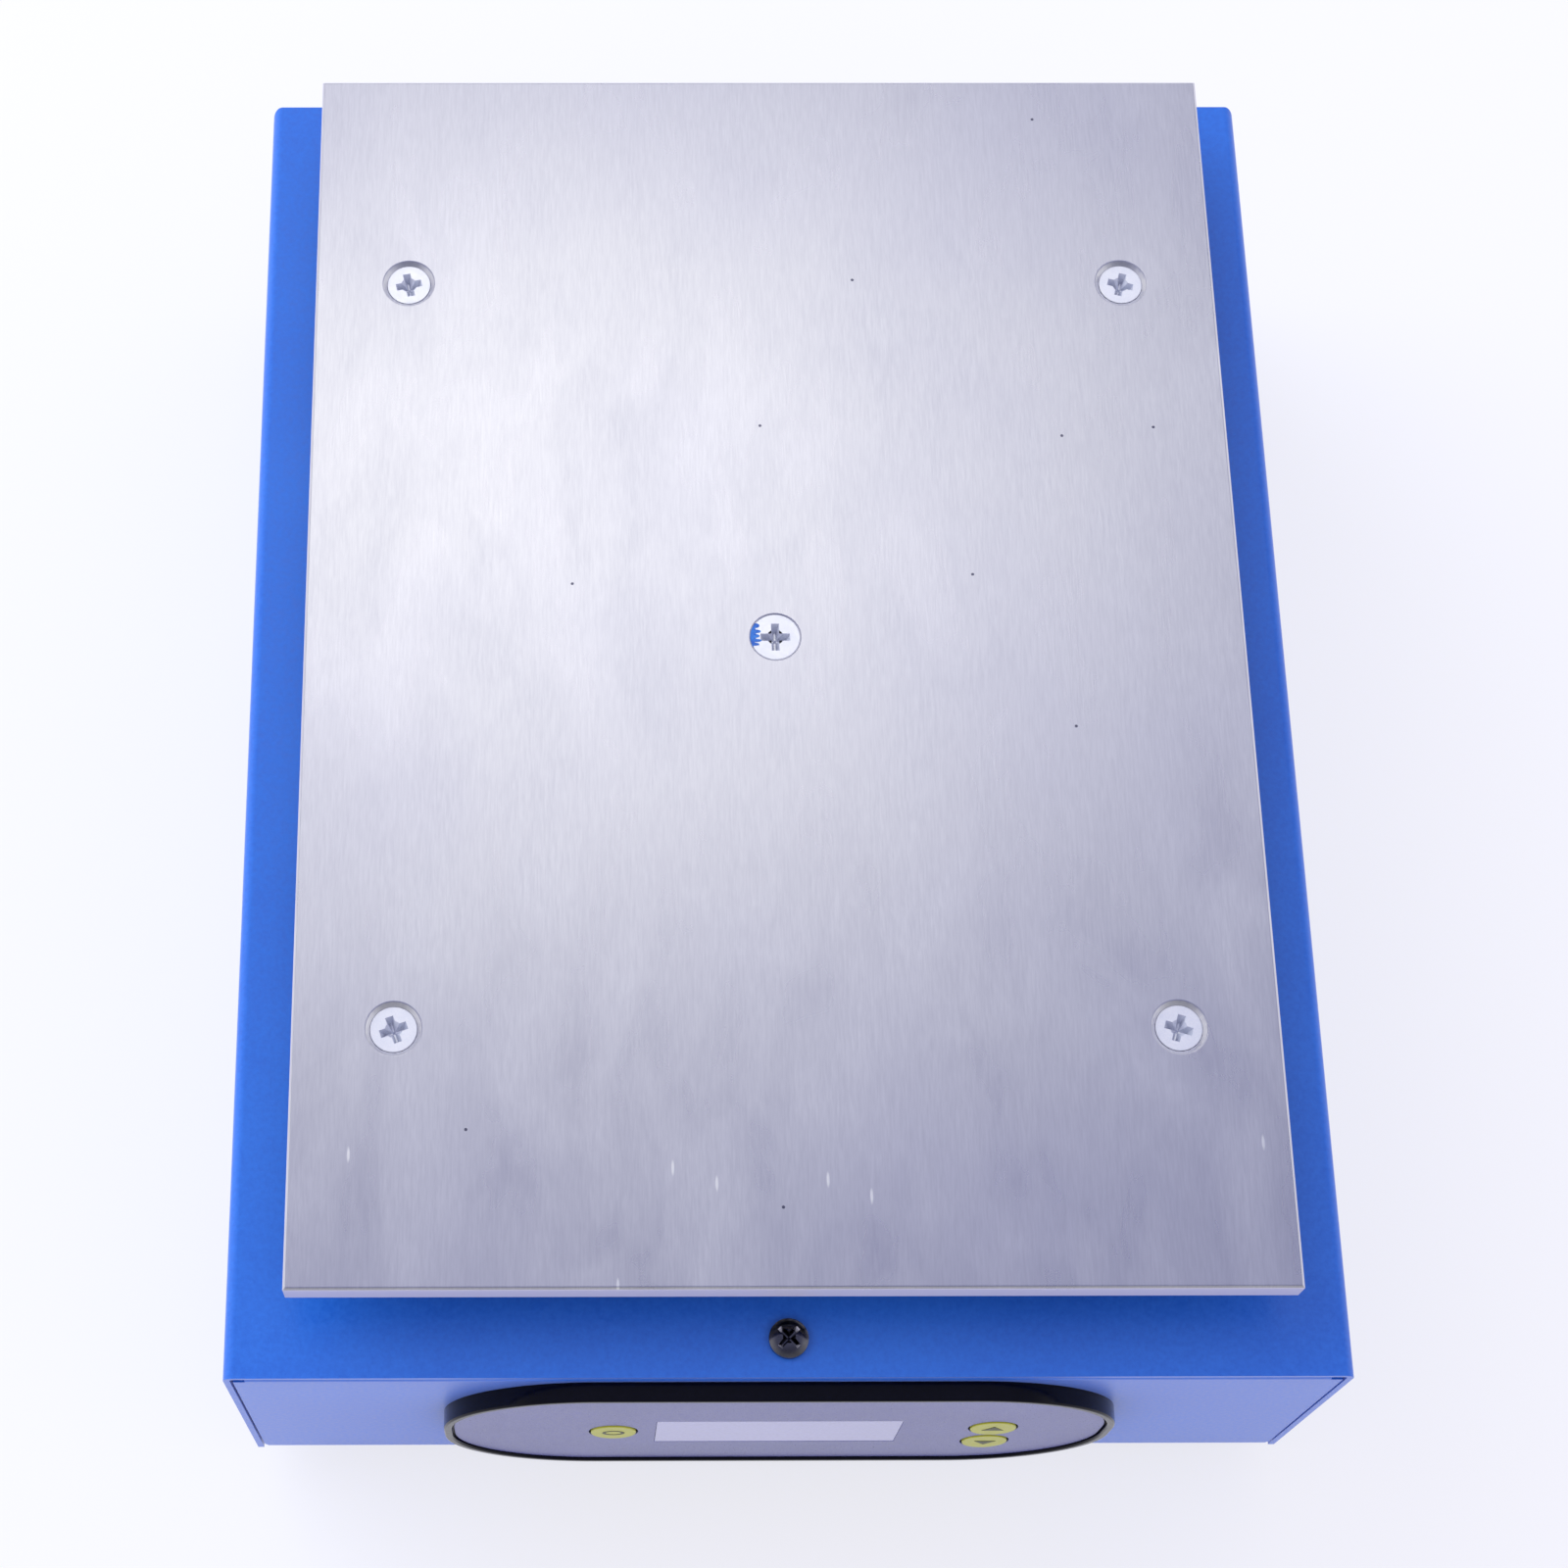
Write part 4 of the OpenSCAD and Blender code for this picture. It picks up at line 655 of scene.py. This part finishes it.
# Temperature controller
# A deep bezel, moulded in ABS, snaps into the front. Its polished mould leaves it glossy black.
bezel_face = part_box("bezel")[0][1]
bezel = whole("bezel", "bezel_moulded")
round_border(
    bezel,
    lambda middle, normal: normal.y < -0.99 and middle.y < bezel_face + near,
    width=0.35 * MM
)
smooth(bezel)
bezel_abs = surface(
    "glossy black ABS", ("#04040c", "#080814"), 9, 0.9, (0.1, 0.2), 0.004,
    {"IOR": 1.54, "Specular IOR Level": 0.15}
)
seat(bezel, bezel_abs, stands_for=["bezel"])

# Front sheet
# A polycarbonate sheet with a velvet face, printed graphite on its back and glued into the bezel.
# The velvet grain is about 0.15 mm, drawn a little coarser so that it shows.
overlay = whole("overlay", "front_sheet")
break_edges(overlay, width=0.12 * MM)
# Its colours lighten the dark graphite print to a lilac grey: partly the print, partly a painted reflection
# of the pale table in front.
velvet_sheet_and_reflection = surface(
    "velvet polycarbonate with painted reflection", ("#5f6297", "#696ca2"), 11, 0.3, (0.26, 0.4), 0.006, {"IOR": 1.58}
)
seat(overlay, velvet_sheet_and_reflection, stands_for=["overlay"])

# Display
# A pale liquid-crystal pane behind a polished window, unlit, with the moulded frame of its module behind.
finish_nodes("window_clear", surface(
    "polished display window", ("#8f8fc6", "#9a9ad0"), 18, 0.6, (0.1, 0.2), 0.002,
    {"IOR": 1.5, "Coat Weight": 0.5, "Coat Roughness": 0.05}
))
finish_nodes("module_white", surface(
    "moulded polystyrene", ("#d6d6d6", "#e2e2e2"), 9, 0.4, (0.45, 0.6), 0.01
))


# Keys
# Three push keys moulded in yellow-green ABS, with crowned edges and a printed sign on each.
def arrow_sign(name, radius, turn):
    """A printed triangle that faces along Y and points up, or down when it is turned round."""
    start()
    bpy.ops.mesh.primitive_cylinder_add(
        vertices=3, radius=radius, depth=2 * ink_t, rotation=(radians(90), radians(turn), 0)
    )
    sign = made(name)
    modify(sign, "BEVEL", width=ink_t / 2, segments=2)
    return sign


key_abs = surface("yellow-green ABS", ("#b9bb22", "#c8c930"), 4, 0.35, (0.3, 0.44), 0.006, {"IOR": 1.54})
dark_ink = surface("dark green ink", ("#3c4016", "#474b1c"), 2, 0.15, (0.4, 0.55), 0.003)
key_round = 0.5 * MM
signs = {
    "set": ring_sign("set_sign", radius=1.5 * MM, stroke=0.6 * MM),
    "up": arrow_sign("up_sign", radius=2 * MM, turn=0),
    "down": arrow_sign("down_sign", radius=2 * MM, turn=180),
}
for name, sign in signs.items():
    key_low, key_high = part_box(name + "_key")
    key = whole(name + "_key", name + "_key_moulded")
    round_border(key, lambda middle, normal: normal.y < -0.99 and middle.y < key_low[1] + near, key_round)
    smooth(key)
    seat(key, key_abs, name + "_button", [name + "_key"])
    sign.data.transform(Matrix.Translation((
        (key_low[0] + key_high[0]) / 2,
        key_low[1],
        (key_low[2] + key_high[2]) / 2,
    )))
    smooth(sign)
    seat(sign, dark_ink, name + "_button")

# Cover
# The upper half of the casing: a steel sheet folded down at both sides, vented there, in the same coat.
# It sits on the chassis lips and is held by five black screws.
cover = whole("cover", "cover_coated")
break_edges(cover, coat_edge)
seat(cover, powder_coat, stands_for=["cover"])
# The grommet for the leads, pushed into the cover's top, is of the same rubber as the feet.
finish_nodes("foot_rubber", rubber)

# Cover screws
# M3 pan-head screws like those in the feet, blackened in hot oxide and oiled: black with sharp highlights.
black_oxide = surface(
    "black oxide steel", ("#56565e", "#666670"), 1.5, 0.25, (0.14, 0.22), 0.002, {"Metallic": 1}
)
# Painted glints: the outer ends of the recess walls are near-white, lit-looking steel, standing in for the
# highlights that catch there.
painted_glint_steel = surface(
    "painted glint steel", ("#f6f6fa", "#ffffff"), 1.2, 0.2, (0.2, 0.3), 0.002, {"Metallic": 0.3}
)
glint_from = 1.6 * MM
cover_low, cover_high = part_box("cover")
front_screw_in, side_screw_up, side_screw_half, cover_screw_l = 5.7 * MM, 9.5 * MM, 75 * MM, 5.1 * MM
front_screw_y = cover_low[1] + front_screw_in
side_screw_z = cover_low[2] + side_screw_up
cover_middle_y = (cover_low[1] + cover_high[1]) / 2
cover_screw_places = [
    Matrix.Translation((0, front_screw_y, cover_high[2])) @ Matrix.Rotation(radians(45), 4, "Z")
]
for side in (-1, 1):
    for y in (cover_middle_y - side_screw_half, cover_middle_y + side_screw_half):
        cover_screw_places.append(
            Matrix.Translation((side * cover_high[0], y, side_screw_z))
            @ Matrix.Rotation(side * pi / 2, 4, "Y")
        )
cover_screw = pan_screw("cover_screw", cover_screw_l, black_oxide, painted_glint_steel, glint_from)
cover_screws = set_of(cover_screw, "cover_screws_black", cover_screw_places)
seat(cover_screws, black_oxide, stands_for=["cover_screws"])


# Heater
# A mica sheet with its winding inside, pressed to the plate by a rolled steel sheet, with brass terminals
# and leads in woven glass sleeves. Mica shows overlapping flakes of a few millimetres.
def pressed_mica():
    """Mica paper whose flakes differ in tone, gloss and height."""
    material = bpy.data.materials.new("pressed mica")
    material.use_nodes = True
    tree = material.node_tree
    shader = tree.nodes["Principled BSDF"]
    shader.inputs["IOR"].default_value = 1.58
    place = add(tree, "ShaderNodeTexCoord").outputs["Object"]
    flake_mm = 4
    flakes = add(tree, "ShaderNodeTexVoronoi", {"Scale": 1 / (flake_mm * MM)}, {"Vector": place})
    tone = add(tree, "ShaderNodeSeparateColor", {}, {0: flakes.outputs["Color"]})
    paint = add(tree, "ShaderNodeMix", {6: linear("#b3a184"), 7: linear("#cdbfa6")}, {
        0: tone.outputs[0],
    }, data_type="RGBA")
    gloss = add(tree, "ShaderNodeMapRange", {"To Min": 0.3, "To Max": 0.5}, {"Value": tone.outputs[1]})
    relief = add(tree, "ShaderNodeBump", {"Strength": 1, "Distance": 0.03 * MM}, {"Height": tone.outputs[2]})
    tree.links.new(paint.outputs[2], shader.inputs["Base Color"])
    tree.links.new(gloss.outputs[0], shader.inputs["Roughness"])
    tree.links.new(relief.outputs[0], shader.inputs["Normal"])
    return material


finish_nodes("mica", pressed_mica())
finish_nodes("clamp_steel", banded(
    "cold-rolled steel", ("#b9babd", "#cccdd0"), 0.4, "X", (0.3, 0.42), 0.003, {"Metallic": 1}
))
finish_nodes("lead_sleeve", banded(
    "woven glass sleeve", ("#cfcabb", "#eeeade"), 0.8, "DIAGONAL", (0.6, 0.8), 0.15
))

# Heating plate
# A flat aluminium plate, ground along its length and left bare, with five countersunk holes.
# Grinding leaves short fine lines along Y, handling leaves cloudy patches, specks and nicks, and the
# sawn edges are rougher and paler than the face.
plate_low, plate_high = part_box("heating_plate")
plate_edge = 0.12 * MM


def ground_aluminium():
    """Bare aluminium with ground lines, clouds, a haze, dark specks, pale nicks and sawn edges."""
    material = bpy.data.materials.new("ground aluminium")
    material.use_nodes = True
    tree = material.node_tree
    shader = tree.nodes["Principled BSDF"]
    space = add(tree, "ShaderNodeTexCoord")
    place = space.outputs["Object"]
    line_mm, line_stretch = 0.32, 11
    along = add(tree, "ShaderNodeMapping", {"Scale": (1, 1 / line_stretch, 1)}, {"Vector": place})
    lines = add(tree, "ShaderNodeTexNoise", {
        "Scale": 1 / (line_mm * MM),
        "Detail": 2,
        "Roughness": 0.6,
    }, {"Vector": along.outputs[0]})
    cloud_mm = 13
    tall = add(tree, "ShaderNodeMapping", {"Scale": (1, 0.45, 1)}, {"Vector": place})
    clouds = add(tree, "ShaderNodeTexNoise", {
        "Scale": 1 / (cloud_mm * MM),
        "Detail": 4,
        "Roughness": 0.55,
        "Distortion": 0.5,
    }, {"Vector": tall.outputs[0]})
    cloud_share = add(tree, "ShaderNodeMapRange", {"From Min": 0.25, "From Max": 0.75}, {
        "Value": clouds.outputs[0],
    })
    tint = add(tree, "ShaderNodeMix", {6: linear("#c8c8d4"), 7: linear("#e6e6ed")}, {
        0: cloud_share.outputs[0],
    }, data_type="RGBA")
    haze_mm = 75
    haze = add(tree, "ShaderNodeTexNoise", {"Scale": 1 / (haze_mm * MM), "Detail": 2}, {"Vector": place})
    haze_share = add(tree, "ShaderNodeMapRange", {"From Min": 0.4, "From Max": 0.7, "To Max": 0.5}, {
        "Value": haze.outputs[0],
    })
    hazed = add(tree, "ShaderNodeMix", {7: linear("#cacadc")}, {
        0: haze_share.outputs[0],
        6: tint.outputs[2],
    }, data_type="RGBA")
    line_share = add(tree, "ShaderNodeMapRange", {"From Min": 0.3, "From Max": 0.7, "To Max": 0.26}, {
        "Value": lines.outputs[0],
    })
    lined = add(tree, "ShaderNodeMix", {7: linear("#b1b1c0")}, {
        0: line_share.outputs[0],
        6: hazed.outputs[2],
    }, data_type="RGBA")
    speck_cell_mm, speck_mm = 16, 0.25
    cells = add(tree, "ShaderNodeTexVoronoi", {"Scale": 1 / (speck_cell_mm * MM)}, {
        "Vector": place,
    }, voronoi_dimensions="2D")
    speck = add(tree, "ShaderNodeMath", {1: speck_mm / speck_cell_mm}, {
        0: cells.outputs["Distance"],
    }, operation="LESS_THAN")
    chance = add(tree, "ShaderNodeSeparateColor", {}, {0: cells.outputs["Color"]})
    few = add(tree, "ShaderNodeMath", {1: 0.9}, {0: chance.outputs[0]}, operation="GREATER_THAN")
    dark = add(tree, "ShaderNodeMath", {}, {0: speck.outputs[0], 1: few.outputs[0]}, operation="MULTIPLY")
    specked = add(tree, "ShaderNodeMix", {7: linear("#66667a")}, {
        0: dark.outputs[0],
        6: lined.outputs[2],
    }, data_type="RGBA")
    nick_cell_mm, nick_mm, nick_reach_mm = 8, 0.14, 24
    drawn = add(tree, "ShaderNodeMapping", {"Scale": (1, 0.2, 1)}, {"Vector": place})
    pits = add(tree, "ShaderNodeTexVoronoi", {"Scale": 1 / (nick_cell_mm * MM)}, {
        "Vector": drawn.outputs[0],
    }, voronoi_dimensions="2D")
    nick = add(tree, "ShaderNodeMapRange", {
        "From Min": nick_mm / nick_cell_mm,
        "From Max": 2 * nick_mm / nick_cell_mm,
        "To Min": 1,
        "To Max": 0,
    }, {"Value": pits.outputs["Distance"]})
    luck = add(tree, "ShaderNodeSeparateColor", {}, {0: pits.outputs["Color"]})
    some = add(tree, "ShaderNodeMath", {1: 0.45}, {0: luck.outputs[0]}, operation="GREATER_THAN")
    parts = add(tree, "ShaderNodeSeparateXYZ", {}, {0: place})
    near_front = add(tree, "ShaderNodeMath", {1: plate_low[1] + nick_reach_mm * MM}, {
        0: parts.outputs["Y"],
    }, operation="LESS_THAN")
    in_reach = add(tree, "ShaderNodeMath", {}, {
        0: some.outputs[0],
        1: near_front.outputs[0],
    }, operation="MULTIPLY")
    pale = add(tree, "ShaderNodeMath", {}, {
        0: nick.outputs[0],
        1: in_reach.outputs[0],
    }, operation="MULTIPLY")
    nicked = add(tree, "ShaderNodeMix", {7: linear("#ffffff")}, {
        0: pale.outputs[0],
        6: specked.outputs[2],
    }, data_type="RGBA")
    facing = add(tree, "ShaderNodeSeparateXYZ", {}, {0: space.outputs["Normal"]})
    flatness = add(tree, "ShaderNodeMath", {}, {0: facing.outputs["Z"]}, operation="ABSOLUTE")
    sawn = add(tree, "ShaderNodeMath", {1: 0.6}, {0: flatness.outputs[0]}, operation="LESS_THAN").outputs[0]
    paint = add(tree, "ShaderNodeMix", {7: linear("#d9d7e4")}, {
        0: sawn,
        6: nicked.outputs[2],
    }, data_type="RGBA")
    metal = add(tree, "ShaderNodeMapRange", {"To Min": 1, "To Max": 0.4}, {"Value": sawn})
    gloss = add(tree, "ShaderNodeMapRange", {
        "From Min": 0.3,
        "From Max": 0.7,
        "To Min": 0.25,
        "To Max": 0.33,
    }, {"Value": clouds.outputs[0]})
    gloss_or_sawn = add(tree, "ShaderNodeMix", {3: 0.55}, {0: sawn, 2: gloss.outputs[0]})
    relief = add(tree, "ShaderNodeBump", {"Strength": 1, "Distance": 0.004 * MM}, {
        "Height": lines.outputs[0],
    })
    tree.links.new(paint.outputs[2], shader.inputs["Base Color"])
    tree.links.new(metal.outputs[0], shader.inputs["Metallic"])
    tree.links.new(gloss_or_sawn.outputs[0], shader.inputs["Roughness"])
    tree.links.new(relief.outputs[0], shader.inputs["Normal"])
    return material


plate = whole("heating_plate", "plate_ground")
break_edges(plate, plate_edge)
seat(plate, ground_aluminium(), stands_for=["heating_plate"])


# Plate screws
# Countersunk M4 screws with cross recesses, cold headed and zinc plated. Four, sunk a little below the face,
# hold the plate on its spacers, and one with a wider head in the middle holds the heater up.
def flat_screw(name, length, head_r, finish, inner):
    """A countersunk screw with the top of its head at the origin and its shank hanging down."""
    shank_r = 2 * MM
    cone = head_r - shank_r
    start()
    bpy.ops.mesh.primitive_cylinder_add(
        vertices=64, radius=shank_r, depth=length - cone, location=(0, 0, -(length + cone) / 2)
    )
    screw = made(name)
    pick(screw, lambda middle, normal: normal.z > 0.9)
    bpy.ops.mesh.extrude_region_move(TRANSFORM_OT_translate={"value": (0, 0, cone)})
    bpy.ops.transform.resize(value=(head_r / shank_r, head_r / shank_r, 1))
    bpy.ops.mesh.bevel(offset=0.16 * MM, segments=2, affect="EDGES")
    pick(screw, lambda middle, normal: normal.z < -0.9)
    bpy.ops.mesh.bevel(offset=0.4 * MM, affect="EDGES")
    bpy.ops.object.mode_set(mode="OBJECT")
    reach, width, depth = 0.62 * head_r, 1.4 * MM, 2 * MM
    cut_cross(screw, 0, reach, width, depth, finish, inner, 0)
    return screw


corner_low, corner_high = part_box("plate_screws")
plate_middle_y = (plate_low[1] + plate_high[1]) / 2
post_x, post_y, corner_head_r = 59.5 * MM, 65 * MM, 3.65 * MM
# Each screw stopped at its own turn, in degrees, when it was tight.
corner_turns = {(-1, -1): 20, (-1, 1): 12, (1, -1): -17, (1, 1): -15}
corner_places = [
    Matrix.Translation((right * post_x, plate_middle_y + back * post_y, corner_high[2]))
    @ Matrix.Rotation(radians(turn), 4, "Z")
    for (right, back), turn in corner_turns.items()
]
corner_screw = flat_screw("corner_screw", corner_high[2] - corner_low[2], corner_head_r, zinc, dull_shaded_zinc)
corner_screws = set_of(corner_screw, "plate_screws_zinc", corner_places)
seat(corner_screws, zinc, stands_for=["plate_screws"])

middle_head_r, middle_sink = 4 * MM, 0.1 * MM
middle_top = plate_high[2] - middle_sink
middle = Vector((0, plate_middle_y, middle_top))
middle_l = middle_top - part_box("centre_screw")[0][2]
middle_screw = flat_screw("middle_screw", middle_l, middle_head_r, zinc, dull_shaded_zinc)
centre_screw = set_of(middle_screw, "centre_screw_zinc", [Matrix.Translation(middle)])
seat(centre_screw, zinc, stands_for=["centre_screw"])

# Locking varnish
# A dab of blue lacquer, brushed over the left edge of the middle screw's head as a thin film.
# Its strokes end raggedly, and the head's own edge cuts it off.
varnish = surface("blue varnish", ("#164fb0", "#3a86d8"), 1.1, 0.3, (0.25, 0.4), 0.01, {"IOR": 1.5})
varnish_t = 0.05 * MM
# Each stroke of the brush in mm: x and y from the screw's middle, half its length, half its width.
strokes = (
    (-5.9, 0.5, 2.85, 3.8), (-3.1, 2.0, 0.6, 0.4), (-3.1, 1.0, 0.8, 0.3), (-3.1, 0.2, 0.6, 0.3),
    (-3.1, -0.6, 0.9, 0.26), (-3.2, -1.25, 0.6, 0.25)
)
dabs = []
for x, y, half_length, half_width in strokes:
    start()
    bpy.ops.mesh.primitive_cylinder_add(
        vertices=32, radius=middle_head_r, depth=varnish_t,
        location=middle + Vector((0, 0, varnish_t / 2))
    )
    dabs.append(made("varnish_dab"))
    start()
    bpy.ops.mesh.primitive_cylinder_add(
        vertices=32, radius=1, depth=4 * varnish_t, location=middle + Vector((x * MM, y * MM, 0))
    )
    bpy.context.object.scale = (half_length * MM, half_width * MM, 1)
    combine(dabs[-1], made("brush"), "INTERSECT")
for dab in dabs[1:]:
    combine(dabs[0], dab, "UNION")
smooth(dabs[0])
seat(dabs[0], varnish)
